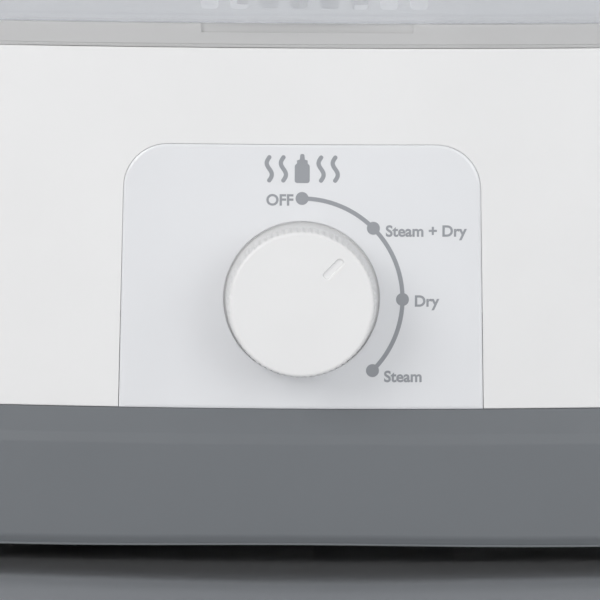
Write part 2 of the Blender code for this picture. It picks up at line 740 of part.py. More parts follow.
def accessory_tray(tray):
    """Shallow slotted basket for teats and rings, standing on the two posts."""
    profile = [
        (28.0, TRAY_FLOOR_Z - 2.5),
        (25.6, TRAY_FLOOR_Z - 0.5),
        (24.4, TRAY_TOP_Z - 2.2),
        (22.4, TRAY_TOP_Z - 2.0),
        (22.4, TRAY_TOP_Z),
        (26.2, TRAY_TOP_Z),
        (28.0, TRAY_FLOOR_Z),
    ]
    basket = add("accessory_tray", shell(profile), "tray_plastic", tray)
    for name, x in TRAY_POSTS.items():
        join(basket, tool(f"socket_{name}", rod(8.8, 274, TRAY_FLOOR_Z - 1.5), tray, (x, 0, 0)))
    for name, x in TRAY_POSTS.items():
        bore = turned([(6.6, 270), (6.2, TRAY_FLOOR_Z - 4.7)], 16)
        cut(basket, tool(f"bore_{name}", bore, tray, (x, 0, 0)))
    rows = (-52, -39, -26, -13, 13, 26, 39, 52)
    slots = [((32, 4, 8), (x, y, TRAY_FLOOR_Z - 1), 0) for y in rows for x in (-64, 0, 64)]
    windows = [((10, 170, 10), (x, 0, TRAY_FLOOR_Z + 12.5), 0) for x in range(-66, 67, 22)]
    cut(basket, tool("tray_slots", blocks(slots), tray), tool("tray_windows", blocks(windows), tray))


def clear_cover(cover):
    """Tall clear cover with a bead at its lower edge and steam slots in its top."""
    top = COVER_TOP_Z
    inner = [(46, top - 2.4), (33, top - 4.8), (22.4, top - 11.2), (14.1, top - 30), (5.4, FLANGE_Z + GAP)]
    bead = [(2.6, 127.0), (1.5, 127.5), (1.5, 129.6), (2.6, 130.2), (3.1, 131.0)]
    outer = [(11.9, top - 30), (20.6, top - 9), (32, top - 2.3), (46, top)]
    clear = add("clear_cover", shell(inner + bead + outer), "clear_plastic", cover)
    vents = [((3, 16, 8), (x, y, top - 1), 0) for x in (-8, 0, 8) for y in (-26, 26)]
    cut(clear, tool("steam_slots", blocks(vents), cover))
    for name, x in HANDLE_SCREWS.items():
        cut(clear, tool(f"hole_{name}", rod(2.2, top - 9, top + 6, 10), cover, (x, 0, 0)))


def cover_handle(cover):
    """Arched bar over the steam slots, screwed on from inside."""
    low, high = COVER_TOP_Z + GAP, HANDLE_TOP_Z

    def mirrored(right):
        return right + [(-x, z) for x, z in reversed(right)]

    arch = mirrored([(50, low), (46, low + 12), (38, high - 2), (26, high)])
    window = mirrored([(27, low - 2), (25, low + 9), (18, high - 6.5)])
    grip = add("cover_handle", prism(arch, -11, 11), "white_plastic", cover, rotation=TOWARDS_USER)
    edge = grip.modifiers.new("rounded edges", "BEVEL")
    edge.width = 2.5 * MM
    edge.segments = 2
    cut(grip, tool("finger_gap", prism(window, -20, 20), cover, rotation=TOWARDS_USER))
    for name, x in HANDLE_SCREWS.items():
        cut(grip, tool(f"bore_{name}", rod(1.6, low - 4, low + 9.7, 12), cover, (x, 0, 0)))
        screw(name, cover, (x, 0, COVER_TOP_Z - 2.8), head=3.4, shank=1.3, length=11.5)


# ---------------------------------------------------------------- assembly


def main():
    for obj in list(bpy.data.objects):
        bpy.data.objects.remove(obj)
    base = carrier("base", (0, BODY_Y, 0))
    bottom_housing(base)
    feet(base)
    for name, (x, y) in HOUSING_SCREWS.items():
        screw(name, base, (x, y, 8.6), head=3.6, shank=1.5, length=17)
    cord_gland(base)
    body_shell(base)
    control_panel(base)
    rotary_switch(base)
    electronics(base)
    wiring(base)
    heating_group(base)
    blower(base)
    air_outlet(base)
    dial = carrier("dial", (0, BODY_Y - PANEL_Y, DIAL_Z), TOWARDS_USER)
    dial_knob(dial)
    switch_shaft(dial)
    blower_wheel(carrier("rotor", (BLOWER_X, BODY_Y + BLOWER_FRONT, BLOWER_Z), TOWARDS_REAR))
    filter_group(carrier("filter", (BLOWER_X, BODY_Y + 90, FILTER_Z)))
    bottle_rack(carrier("rack", (0, BODY_Y, 0)))
    accessory_tray(carrier("tray", (0, BODY_Y, 0)))
    cover = carrier("cover", (0, BODY_Y, 0))
    clear_cover(cover)
    cover_handle(cover)


main()
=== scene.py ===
"""Looks of the bottle steriliser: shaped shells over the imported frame, its materials, light and camera.

Sizes are written in millimetres, and draft() turns them into Blender's metres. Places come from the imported
model's boxes. +Z is up and the front with the dial faces -Y. The base, the rack and the cover follow one plan
outline, a rounded rectangle with bowed sides, which is moved in or out to make walls, rims and lips.
"""

import math

import bmesh
import bpy
from mathutils import Matrix, Vector


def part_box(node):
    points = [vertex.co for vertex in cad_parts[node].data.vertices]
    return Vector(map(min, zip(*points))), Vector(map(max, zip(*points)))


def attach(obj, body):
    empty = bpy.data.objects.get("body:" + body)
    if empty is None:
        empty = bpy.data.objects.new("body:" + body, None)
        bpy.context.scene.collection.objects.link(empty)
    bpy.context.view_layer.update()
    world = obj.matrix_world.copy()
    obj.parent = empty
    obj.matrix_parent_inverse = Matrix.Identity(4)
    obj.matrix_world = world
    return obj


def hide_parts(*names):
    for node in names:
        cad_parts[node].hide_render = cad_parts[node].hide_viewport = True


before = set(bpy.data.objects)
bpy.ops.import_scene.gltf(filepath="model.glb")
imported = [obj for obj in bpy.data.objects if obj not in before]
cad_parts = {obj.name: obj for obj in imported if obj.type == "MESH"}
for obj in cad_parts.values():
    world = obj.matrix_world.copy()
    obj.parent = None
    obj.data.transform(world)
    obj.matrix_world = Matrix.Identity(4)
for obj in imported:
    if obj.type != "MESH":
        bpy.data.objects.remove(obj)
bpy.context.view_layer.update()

MM = 0.001


def corners(node):
    """A CAD node's lowest and highest corners, in millimetres."""
    low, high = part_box(node)
    return Vector(low) / MM, Vector(high) / MM


def middle(node):
    low, high = corners(node)
    return (low + high) / 2


# ---------------------------------------------------------------- sizes

GAP = 0.3  # between pieces that touch or rest on each other
JOINT = 0.08  # the thin line that is left where one moulding is seated on the next
LEDGE = 0.9  # the grey housing's ledge stands out this far from the white body

# Plan outline of the white body at its lower edge
HOUSING_LOW, HOUSING_HIGH = corners("bottom_housing")
HALF_WIDTH = HOUSING_HIGH.x - LEDGE
HALF_DEPTH = (HOUSING_HIGH.y - HOUSING_LOW.y) / 2 - LEDGE
FRONT_RADIUS, SIDE_RADIUS, CORNER_RADIUS = 400.0, 420.0, 62.0
SIDE_STEPS, CORNER_STEPS, FRONT_STEPS = 10, 20, 26
BODY_Y = middle("bottom_housing").y
INSIDE_Y = BODY_Y - 84  # behind the front wall, where the cutters of its windows end

# Heights
SEAM_Z = corners("control_panel")[0].z - GAP
LEDGE_Z = SEAM_Z - 8.3
RIM_Z = corners("body_shell")[1].z
SEAT_Z = RIM_Z + GAP / 2  # the white rim stands this high, up to the rack's flange
DECK_Z = RIM_Z - 8.8
RACK_FLOOR_Z = corners("tray_post_left")[0].z - GAP
FLANGE_Z = corners("clear_cover")[0].z - GAP
BASKET_Z = 148.0
TRAY_TOP_Z = corners("accessory_tray")[1].z
TRAY_FLOOR_Z = TRAY_TOP_Z - 27.3
COVER_TOP_Z = corners("clear_cover")[1].z
HANDLE_TOP_Z = corners("cover_handle")[1].z

WALL = 2.5
DRAFT = 1.2  # the white body leans in by this much between seam and rim
RACK_FLOOR = 2.2  # thickness

# Dial and control panel
DIAL_Z = middle("dial_knob").z
KNOB_RADIUS = corners("dial_knob")[1].x
KNOB_FACE_Y = corners("dial_knob")[0].y
KNOB_BACK = 7.2  # the knob reaches this far behind the panel's surface, and KNOB_HEIGHT in front of it
KNOB_HEIGHT = 13.4
KNOB_RIDGES, RIDGE_DEPTH, POINTS_PER_RIDGE = 68, 0.3, 8
DIAL_REST = math.radians(45)  # the pointer stands one step clockwise of OFF
PANEL_Y = KNOB_FACE_Y + KNOB_HEIGHT  # the panel's surface at the dial
WELL_RADIUS, WELL_DEPTH, WELL_SIDES = KNOB_RADIUS + 0.40, 9.0, 128
PANEL_TOP_Z, PANEL_CORNER = corners("control_panel")[1].z, 10.2
PANEL_HALF_LOW = corners("control_panel")[1].x
PANEL_HALF_HIGH = PANEL_HALF_LOW - 1.1
PANEL_RISE = 0.12  # the panel stands this far proud of the white wall

# The lifting recess and the comb of slots stand a little right of the middle
NOTCH_X, COMB_X = 1.0, 2.6

PEG_COLUMNS = (-84, 0, 84)
PEGS = [(x, y) for x in PEG_COLUMNS for y in (-40, 40)]
TRAY_POSTS = [middle("tray_post_left").x, middle("tray_post_right").x]
HANDLE_SCREWS = [middle("handle_screw_left").x, middle("handle_screw_right").x]
SIDES = ("front_left", "front_right", "rear_left", "rear_right")

TOWARDS_USER = Matrix.Rotation(math.pi / 2, 4, "X")  # turns local Z to -Y
TOWARDS_REAR = Matrix.Rotation(-math.pi / 2, 4, "X")  # turns local Z to +Y
LYING = Matrix.Rotation(math.pi / 2, 4, "Z")  # turns a slot that runs along Y so that it runs along X

# ---------------------------------------------------------------- flat outlines


def rounded(path, steps=5, closed=True):
    """A path through (x, y, radius) corners, with an arc at each corner that has a radius."""
    points = []
    for i, (x, y, radius) in enumerate(path):
        here = Vector((x, y))
        if not radius or (not closed and i in (0, len(path) - 1)):
            points.append(here)
            continue
        back = Vector(path[i - 1][:2]) - here
        ahead = Vector(path[(i + 1) % len(path)][:2]) - here
        half = back.angle(ahead) / 2
        reach = min(radius / math.tan(half), 0.48 * back.length, 0.48 * ahead.length)
        centre = here + (back.normalized() + ahead.normalized()).normalized() * reach / math.cos(half)
        start = here + back.normalized() * reach - centre
        turn = -start.angle_signed(here + ahead.normalized() * reach - centre)
        for k in range(steps + 1):
            points.append(centre + Matrix.Rotation(turn * k / steps, 2) @ start)
    return [tuple(point) for point in points]


def mirrored(right):
    """A path down the right side of an outline, and back up its left side."""
    return right + [(-x, *rest) for x, *rest in reversed(right)]


def stadium(length, width, grow=0.0, steps=10):
    """A slot with round ends, along Y, moved out by grow."""
    radius = width / 2 + grow
    turns = [math.pi * i / steps for i in range(steps + 1)]
    upper = [(radius * math.cos(t), (length - width) / 2 + radius * math.sin(t)) for t in turns]
    return upper + [(-x, -y) for x, y in upper]


def corner_centre():
    """Middle of the corner arc, which is tangent to the side arc and to the front arc."""
    side = Vector((HALF_WIDTH - SIDE_RADIUS, 0))
    front = Vector((0, HALF_DEPTH - FRONT_RADIUS))
    to_side, to_front = SIDE_RADIUS - CORNER_RADIUS, FRONT_RADIUS - CORNER_RADIUS
    between = front - side
    along = (to_side**2 - to_front**2 + between.length_squared) / (2 * between.length)
    across = math.sqrt(to_side**2 - along**2)
    unit = between.normalized()
    return side + along * unit + across * Vector((-unit.y, unit.x))


def quarter(inset):
    """The outline's first quarter, from the middle of the right side to just before the back's middle."""
    corner = corner_centre()
    side = Vector((HALF_WIDTH - SIDE_RADIUS, 0))
    front = Vector((0, HALF_DEPTH - FRONT_RADIUS))
    low = math.atan2(corner.y - side.y, corner.x - side.x)
    high = math.atan2(corner.y - front.y, corner.x - front.x)
    arcs = (
        (side, SIDE_RADIUS, 0.0, low, SIDE_STEPS),
        (corner, CORNER_RADIUS, low, high, CORNER_STEPS),
        (front, FRONT_RADIUS, high, math.pi / 2, FRONT_STEPS),
    )
    points = []
    for centre, radius, start, end, steps in arcs:
        for i in range(steps):
            turn = start + (end - start) * i / steps
            reach = radius - inset
            points.append((centre.x + reach * math.cos(turn), centre.y + reach * math.sin(turn)))
    return points


def outline(inset=0.0):
    """The plan outline, anticlockwise from the middle of the right side, moved in by inset."""
    right_back = quarter(inset) + [(0.0, HALF_DEPTH - inset)]
    back_left = [(-x, y) for x, y in reversed(right_back[1:-1])]
    half = right_back + back_left
    return [(x, y + BODY_Y) for x, y in half + [(-x, -y) for x, y in half]]


def wall_inset(z):
    """How far the white wall has leaned in at a height."""
    return DRAFT * (z - SEAM_Z) / (RIM_Z - SEAM_Z)


def wall_y(x, z):
    """Where the white front wall's surface lies."""
    reach = FRONT_RADIUS - wall_inset(z)
    return BODY_Y + FRONT_RADIUS - HALF_DEPTH - math.sqrt(reach**2 - x**2)


# ---------------------------------------------------------------- solids


def loft(rings, closed=False):
    """A solid through rings of equally many points, capped flat, or closed on itself like a tyre."""
    mesh = bmesh.new()
    loops = [[mesh.verts.new(point) for point in ring] for ring in rings]
    following = loops[1:] + (loops[:1] if closed else [])
    for lower, upper in zip(loops, following):
        for i in range(len(lower)):
            j = (i + 1) % len(lower)
            mesh.faces.new((lower[i], lower[j], upper[j], upper[i]))
    if not closed:
        mesh.faces.new(loops[0])
        mesh.faces.new(loops[-1])
    return mesh


def shell(profile, closed=False):
    """A solid that follows the plan outline through (inset, height) points."""
    return loft([[(x, y, height) for x, y in outline(inset)] for inset, height in profile], closed)


def circle(radius, height, sides):
    turns = [2 * math.pi * i / sides for i in range(sides)]
    return [(radius * math.cos(t), radius * math.sin(t), height) for t in turns]


def turned(profile, sides=64, closed=False):
    """A solid turned about its Z axis from (radius, height) points."""
    return loft([circle(radius, height, sides) for radius, height in profile], closed)


def prism(points, low, high):
    """A flat outline extruded along Z."""
    return loft([[(x, y, z) for x, y in points] for z in (low, high)])


def placed(mesh, place=(0, 0, 0), turn=Matrix()):
    """The mesh, turned and then moved to its place."""
    bmesh.ops.transform(mesh, matrix=Matrix.Translation(place) @ turn.to_4x4(), verts=mesh.verts)
    return mesh


def merged(meshes):
    """Solids that don't touch each other, as one mesh."""
    whole = bmesh.new()
    for mesh in meshes:
        data = bpy.data.meshes.new("part")
        mesh.to_mesh(data)
        mesh.free()
        whole.from_mesh(data)
        bpy.data.meshes.remove(data)
    return whole


def block(size, centre=(0, 0, 0)):
    mesh = bmesh.new()
    bmesh.ops.create_cube(mesh, size=1.0)
    bmesh.ops.scale(mesh, vec=size, verts=mesh.verts)
    bmesh.ops.translate(mesh, vec=centre, verts=mesh.verts)
    return mesh


def slots(places, length, width, depth, turn=Matrix()):
    """Cutters with round ends at (x, y, z) places, which run along Y before they are turned."""
    return merged([placed(prism(stadium(length, width), -depth / 2, depth / 2), p, turn) for p in places])


def window_cutter(outline_at, back_y, edge, sign, rise=0.0):
    """A solid that cuts (sign 1) or keeps (sign -1) a window in the front wall, with a rounded edge.

    outline_at(grow) gives the window's (x, z) points, moved out by grow. Edge is how wide and how deep
    the rounding is, and rise is how far the wall that it cuts stands proud.
    """
    wide, deep = edge
    rings = [[(x, back_y, z) for x, z in outline_at(0)]]
    for i in range(6):
        turn = math.radians(15 * i)
        grow, depth = wide * (1 - math.cos(turn)), deep * (1 - math.sin(turn))
        rings.append([(x, wall_y(x, z) - rise + depth, z) for x, z in outline_at(sign * grow)])
    rings.append([(x, wall_y(x, z) - 3, z) for x, z in outline_at(sign * wide * 1.3)])
    return loft(rings)


# ---------------------------------------------------------------- objects


def draft(mesh, name="draft"):
    """Links a bmesh, given in millimetres, as an object in metres with its faces turned outwards."""
    bmesh.ops.scale(mesh, vec=(MM, MM, MM), verts=mesh.verts)
    bmesh.ops.recalc_face_normals(mesh, faces=mesh.faces)
    data = bpy.data.meshes.new(name)
    mesh.to_mesh(data)
    mesh.free()
    obj = bpy.data.objects.new(name, data)
    bpy.context.scene.collection.objects.link(obj)
    return obj


def bake(obj):
    """Applies an object's modifiers."""
    graph = bpy.context.evaluated_depsgraph_get()
    mesh = bpy.data.meshes.new_from_object(obj.evaluated_get(graph))
    obj.modifiers.clear()
    obj.data = mesh


def combine(obj, operation, meshes):
    """Joins, cuts or intersects an object with solids, one after another."""
    tools = [draft(mesh, "tool") for mesh in meshes]
    for shape in tools:
        modifier = obj.modifiers.new("combine", "BOOLEAN")
        modifier.operation = operation
        modifier.object = shape
    bake(obj)
    for shape in tools:
        bpy.data.objects.remove(shape)


def cut(obj, *meshes):
    combine(obj, "DIFFERENCE", meshes)


def join(obj, *meshes):
    combine(obj, "UNION", meshes)


def keep(obj, *meshes):
    combine(obj, "INTERSECT", meshes)


def soften(obj, width, segments):
    """Rounds the edges of an object that turn by more than 40 degrees."""
    edge = obj.modifiers.new("soften", "BEVEL")
    edge.width = width * MM
    edge.segments = segments
    edge.limit_method = "ANGLE"
    edge.angle_limit = math.radians(40)
    bake(obj)


def piece(obj, name, material, body, slot, *nodes):
    """Finishes a visible piece: its shading, material, body, and the CAD nodes that it stands for. The slot
    is not used.
    """
    obj.name = name
    obj.data.name = name
    obj.data.materials.clear()
    obj.data.materials.append(material)
    obj.data.shade_smooth()
    obj.data.set_sharp_from_angle(angle=math.radians(34))
    normals = obj.modifiers.new("flat faces stay flat", "WEIGHTED_NORMAL")
    normals.keep_sharp = True
    normals.weight = 100
    bake(obj)
    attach(obj, body)
    if nodes:
        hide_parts(*nodes)


# ---------------------------------------------------------------- materials


def surface(name, settings):
    """A new material and its Principled shader, with the values that are the same all over it."""
    material = bpy.data.materials.new(name)
    material.use_nodes = True
    shader = material.node_tree.nodes["Principled BSDF"]
    for socket, value in settings.items():
        shader.inputs[socket].default_value = value
    return material, shader


def node(material, kind, settings=None, links=None):
    """A new node with its socket values and its incoming links."""
    made = material.node_tree.nodes.new(kind)
    for socket, value in (settings or {}).items():
        made.inputs[socket].default_value = value
    for socket, source in (links or {}).items():
        material.node_tree.links.new(source, made.inputs[socket])
    return made


def grain(material, size, detail=2.0, stretch=(1, 1, 1)):
    """Noise whose lumps are about size millimetres across, fixed to the object."""
    place = node(material, "ShaderNodeTexCoord").outputs["Object"]
    scale = [s / (size * MM) for s in stretch]
    fitted = node(material, "ShaderNodeMapping", {"Scale": scale}, {"Vector": place})
    settings = {"Scale": 1.0, "Detail": detail}
    return node(material, "ShaderNodeTexNoise", settings, {"Vector": fitted.outputs[0]}).outputs["Fac"]


def between(material, factor, low, high):
    """A value that goes from low to high with the middle part of a noise."""
    settings = {"From Min": 0.3, "From Max": 0.7, "To Min": low, "To Max": high}
    return node(material, "ShaderNodeMapRange", settings, {"Value": factor}).outputs["Result"]


def tinted(material, factor, dark, light):
    """A colour that goes from dark to light with the middle part of a noise."""
    blend = node(material, "ShaderNodeMix", links={"Factor": between(material, factor, 0.0, 1.0)})
    blend.data_type = "RGBA"
    for socket in blend.inputs:
        if socket.type == "RGBA":
            socket.default_value = (*(dark if socket.name == "A" else light), 1)
    return next(socket for socket in blend.outputs if socket.type == "RGBA")


def bumps(material, shader, layers):
    """Surface relief from (height, millimetres) layers."""
    normal = None
    for height, depth in layers:
        links = {"Height": height}
        if normal:
            links["Normal"] = normal
        normal = node(material, "ShaderNodeBump", {"Strength": 1.0, "Distance": depth * MM}, links).outputs[0]
    material.node_tree.links.new(normal, shader.inputs["Normal"])


def shade(colour, amount):
    return tuple(channel * amount for channel in colour)


def vary_colour(material, shader, factor, colour, dark, light):
    """Lets the base colour go from a dark to a light shade of a colour with a noise."""
    varied = tinted(material, factor, shade(colour, dark), shade(colour, light))
    material.node_tree.links.new(varied, shader.inputs["Base Color"])


def vary_roughness(material, shader, factor, roughness, low, high):
    """Lets the roughness go from low to high times its usual value with a noise."""
    varied = between(material, factor, roughness * low, roughness * high)
    material.node_tree.links.new(varied, shader.inputs["Roughness"])


def moulded(name, colour, roughness, relief=0.010, coat=0.0):
    """Moulded plastic: a fine spark-eroded grain, slow waves from shrinkage, and uneven gloss and colour."""
    material, shader = surface(name, {"IOR": 1.49, "Coat Weight": coat, "Coat Roughness": 0.08})
    vary_colour(material, shader, grain(material, 35), colour, 0.985, 1.01)
    vary_roughness(material, shader, grain(material, 6, 4.0), roughness, 0.92, 1.08)
    bumps(material, shader, [(grain(material, 45, 0.0), relief * 8), (grain(material, 0.7, 3.0), relief)])
    return material


def translucent(name, colour, roughness, transmission, haze, cover=1.0, relief=0.012):
    """Moulded plastic that light goes through, with flow marks. Cover is how much it hides what is behind."""
    settings = {"IOR": 1.46, "Transmission Weight": transmission, "Alpha": cover}
    material, shader = surface(name, settings)
    flow = grain(material, 40, 1.0, (1, 1, 0.35))
    vary_colour(material, shader, flow, colour, 1 - haze, 1 + haze)
    vary_roughness(material, shader, grain(material, 4, 3.0), roughness, 0.85, 1.15)
    bumps(material, shader, [(flow, relief * 6), (grain(material, 0.9), relief)])
    return material


def turned_metal(name, colour, roughness, centre):
    """Metal with fine turning rings about an upright axis."""
    material, shader = surface(name, {"Metallic": 1.0})
    place = node(material, "ShaderNodeTexCoord").outputs["Object"]
    location = [-c * MM for c in centre]
    fitted = node(material, "ShaderNodeMapping", {"Location": location}, {"Vector": place})
    settings = {"Scale": 190.0, "Distortion": 1.2, "Detail": 3.0}
    wave = node(material, "ShaderNodeTexWave", settings, {"Vector": fitted.outputs[0]})
    wave.wave_type = "RINGS"
    wave.rings_direction = "Z"
    rings = wave.outputs["Fac"]
    vary_colour(material, shader, grain(material, 18), colour, 0.93, 1.05)
    vary_roughness(material, shader, rings, roughness, 0.8, 1.3)
    bumps(material, shader, [(rings, 0.012), (grain(material, 0.5), 0.004)])
    return material


def bare_metal(name, colour, roughness):
    """Metal with a drawn or plated grain."""
    material, shader = surface(name, {"Metallic": 1.0})
    streaks = grain(material, 0.8, 4.0, (1, 1, 8))
    vary_colour(material, shader, grain(material, 5), colour, 0.88, 1.06)
    vary_roughness(material, shader, streaks, roughness, 0.75, 1.3)
    bumps(material, shader, [(streaks, 0.01)])
    return material


def elastic(name, colour, roughness):
    """Rubber or silicone, with a dusty bloom and a matt skin."""
    material, shader = surface(name, {"Sheen Weight": 0.15, "Sheen Roughness": 0.5})
    vary_colour(material, shader, grain(material, 3, 4.0), colour, 0.85, 1.25)
    vary_roughness(material, shader, grain(material, 1.5), roughness, 0.9, 1.08)
    bumps(material, shader, [(grain(material, 0.35, 2.0), 0.02)])
    return material


def cellular(name, colour):
    """Open-celled filter foam, its colour painted darker in the pits of the cells as painted shade."""
    material, shader = surface(name, {"Roughness": 0.95})
    place = node(material, "ShaderNodeTexCoord").outputs["Object"]
    foam = node(material, "ShaderNodeTexVoronoi", {"Scale": 1 / (0.9 * MM)}, {"Vector": place})
    pits_with_painted_shade = foam.outputs["Distance"]
    # painted shade: the colour goes darker towards the middle of each cell, where the bump sinks a pit
    vary_colour(material, shader, pits_with_painted_shade, colour, 0.3, 1.5)
    bumps(material, shader, [(pits_with_painted_shade, 0.4)])
    return material


def lacquered_board(name, colour):
    """Circuit board: tracks under a green lacquer."""
    material, shader = surface(name, {"Roughness": 0.35, "Coat Weight": 0.4, "Coat Roughness": 0.2})
    place = node(material, "ShaderNodeTexCoord").outputs["Object"]
    settings = {"Scale": 1 / (9 * MM), "Mortar Size": 0.06, "Bias": 0.2}
    settings["Color1"] = (*shade(colour, 0.8), 1)
    settings["Color2"] = (*colour, 1)
    settings["Mortar"] = (*shade(colour, 2.4), 1)
    tracks = node(material, "ShaderNodeTexBrick", settings, {"Vector": place})
    material.node_tree.links.new(tracks.outputs["Color"], shader.inputs["Base Color"])
    bumps(material, shader, [(tracks.outputs["Fac"], 0.05), (grain(material, 0.6), 0.01)])
    return material


def studio_floor():
    """Smooth pale tabletop, polished enough to mirror what is seen along it at a very low angle."""
    material, shader = surface("studio_floor", {"IOR": 1.3})
    link = material.node_tree.links.new
    dark, light = (0.70, 0.705, 0.72), (0.72, 0.725, 0.74)
    link(tinted(material, grain(material, 300), dark, light), shader.inputs["Base Color"])
    link(between(material, grain(material, 60), 0.24, 0.28), shader.inputs["Roughness"])
    mirror = node(material, "ShaderNodeBsdfAnisotropic", {"Roughness": 0.09, "Color": (0.97, 0.97, 0.98, 1)})
    facing = node(material, "ShaderNodeLayerWeight", {"Blend": 0.5}).outputs["Facing"]
    settings = {"From Min": 0.76, "From Max": 0.87, "To Min": 0.0, "To Max": 0.87}
    amount = node(material, "ShaderNodeMapRange", settings, {"Value": facing})
    both = node(material, "ShaderNodeMixShader", links={"Fac": amount.outputs["Result"]})
    link(shader.outputs[0], both.inputs[1])
    link(mirror.outputs[0], both.inputs[2])
    link(both.outputs[0], material.node_tree.nodes["Material Output"].inputs["Surface"])
    return material


WHITE = (0.80, 0.80, 0.80)
PLATE = middle("heating_plate")

MATERIALS = {
    "white_plastic": moulded("white_plastic", WHITE, 0.38),
    "panel_white": moulded("panel_white", (0.765, 0.775, 0.795), 0.30, relief=0.004, coat=0.8),
    "grey_plastic": moulded("grey_plastic", (0.153, 0.165, 0.178), 0.46, relief=0.012),
    "frosted_plastic": translucent("frosted_plastic", (0.74, 0.74, 0.74), 0.45, 0.35, 0.02),
    "clear_plastic": translucent("clear_plastic", (0.88, 0.905, 0.95), 0.22, 0.30, 0.01, 0.38, relief=0.003),
    "tray_plastic": translucent("tray_plastic", (0.86, 0.88, 0.90), 0.35, 0.30, 0.02, 0.80),
    "steel": turned_metal("steel", (0.66, 0.66, 0.66), 0.22, PLATE),
    "zinc_steel": bare_metal("zinc_steel", (0.60, 0.60, 0.57), 0.35),
    "aluminium": bare_metal("aluminium", (0.68, 0.68, 0.69), 0.42),
    "silicone": elastic("silicone", (0.42, 0.43, 0.45), 0.55),
    "rubber": elastic("rubber", (0.035, 0.035, 0.038), 0.75),
    "black_plastic": moulded("black_plastic", (0.03, 0.03, 0.032), 0.45, relief=0.015),
    "circuit_board": lacquered_board("circuit_board", (0.03, 0.16, 0.07)),
    "wire": moulded("wire", (0.70, 0.68, 0.62), 0.45, relief=0.02),
    "foam": cellular("foam", (0.10, 0.10, 0.10)),
    "ink": moulded("ink", (0.318, 0.331, 0.354), 0.42, relief=0.003),
}

# ---------------------------------------------------------------- grey housing, feet and gland


def grey_housing():
    """Grey tray with a soft ledge, a rolled lower edge and a thin lip that arches a little at the middle."""
    inner = [(1.8, 33.0, 0.5), (4.6, 34.6, 0.5), (4.6, SEAM_Z + 3, 0.4), (2.8, SEAM_Z + 3, 0.3)]
    seam = [(2.8, SEAM_Z, 0.1), (0.15, SEAM_Z, 0.3), (-0.42, LEDGE_Z + 2.4, 4.0)]
    face = [(-LEDGE, LEDGE_Z, 4.0), (-0.74, 6.6, 2.4), (0.28, 4.85, 0.1)]
    lip = [(0.12, 4.80, 0.08), (0.12, 4.50, 0.1), (0.9, 4.3, 0.2)]
    whole = [(1.8, 7.0, 0), *inner, *seam, *face, *lip, (1.8, 4.3, 0)]
    tub = shell(rounded(whole, closed=False))
    arch_height, arch_reach = 0.95, 45
    for vertex in tub.verts:
        below_ledge = max(0.0, (LEDGE_Z - vertex.co.z) / LEDGE_Z)
        vertex.co.z -= arch_height * below_ledge * (1 - math.exp(-((vertex.co.x / arch_reach) ** 2)))
    housing = draft(tub)
    for side in SIDES:
        screw = middle(f"housing_screw_{side}")
        foot = middle(f"foot_{side}")
        join(housing, turned_at([(6.5, 6), (6.5, 11.3), (6.3, 11.5)], screw))
        cut(
            housing,
            turned_at([(4.5, 3), (4.5, 4.5), (4.1, 4.9), (4.1, 9), (2.1, 9), (2.1, 13)], screw),
            turned_at([(3.1, 3), (3.1, 8)], foot),
        )
    gland = middle("cord_gland")
    wall_back = (gland.x, BODY_Y, gland.z)
    join(housing, placed(turned([(9.7, 98), (9.7, 104.5), (9.4, 104.8)]), wall_back, TOWARDS_REAR))
    cut(housing, placed(turned([(6.3, 90), (6.3, 110)]), wall_back, TOWARDS_REAR))
    board = middle("control_board")
    for x in (-32, 32):
        for y in (-17, 17):
            join(housing, placed(turned([(3.4, 6), (3, 15.7)], 24), (board.x + x, board.y + y, 0)))
    vents = [(20, BODY_Y + y, 5.5) for y in range(-66, -29, 6)]
    cut(housing, slots(vents, 34, 2.4, 8, LYING))
    piece(housing, "grey_housing", MATERIALS["grey_plastic"], "base", "grey_plastic", "bottom_housing")


def turned_at(profile, place, sides=40):
    """A solid turned about an upright axis that goes through a place."""
    return placed(turned(profile, sides), (place.x, place.y, 0))


def feet():
    """Rubber feet with a rounded, slightly hollow tread."""
    tread = [(0.4, 0.35, 0), (5.5, 0.35, 0.3), (6.4, 0.0, 0.4), (8.7, 0.0, 0.7), (9.0, 4.2, 0.5)]
    stud = [(2.8, 4.2, 0.2), (2.8, 7.6, 0), (4.2, 7.6, 0.3), (3.0, 10.0, 0)]
    for side in SIDES:
        foot = middle(f"foot_{side}")
        made = draft(turned_at(rounded(tread + stud, closed=False), foot, 56))
        piece(made, f"foot_pad_{side}", MATERIALS["rubber"], "base", "rubber", f"foot_{side}")


def gland():
    """Rubber bush with bending ribs round the bore for the mains lead."""
    low, high = corners("cord_gland")
    length = high.y - low.y
    ribs = []
    for i in range(3):
        root, crest = 6.2 - 0.25 * i, 7.4 - 0.35 * i
        ribs += [(root, 11.9 + i, 0.1), (crest, 12.2 + i, 0.15), (crest, 12.6 + i, 0.15)]
    path = [(3.6, 0, 0.4), (8.2, 0, 0.4), (8.2, 2.0, 0.3), (6.0, 2.3, 0), (6.0, 9.4, 0), (8.4, 9.4, 0.3)]
    path += [(8.4, 11.8, 0.8), *ribs, (6.0, length, 0.3), (3.6, length, 0.4)]
    place = ((low.x + high.x) / 2, low.y, (low.z + high.z) / 2)
    made = draft(placed(turned(rounded(path, 3), closed=True), place, TOWARDS_REAR))
    piece(made, "lead_bush", MATERIALS["rubber"], "base", "rubber", "cord_gland")


# ---------------------------------------------------------------- white body and control panel


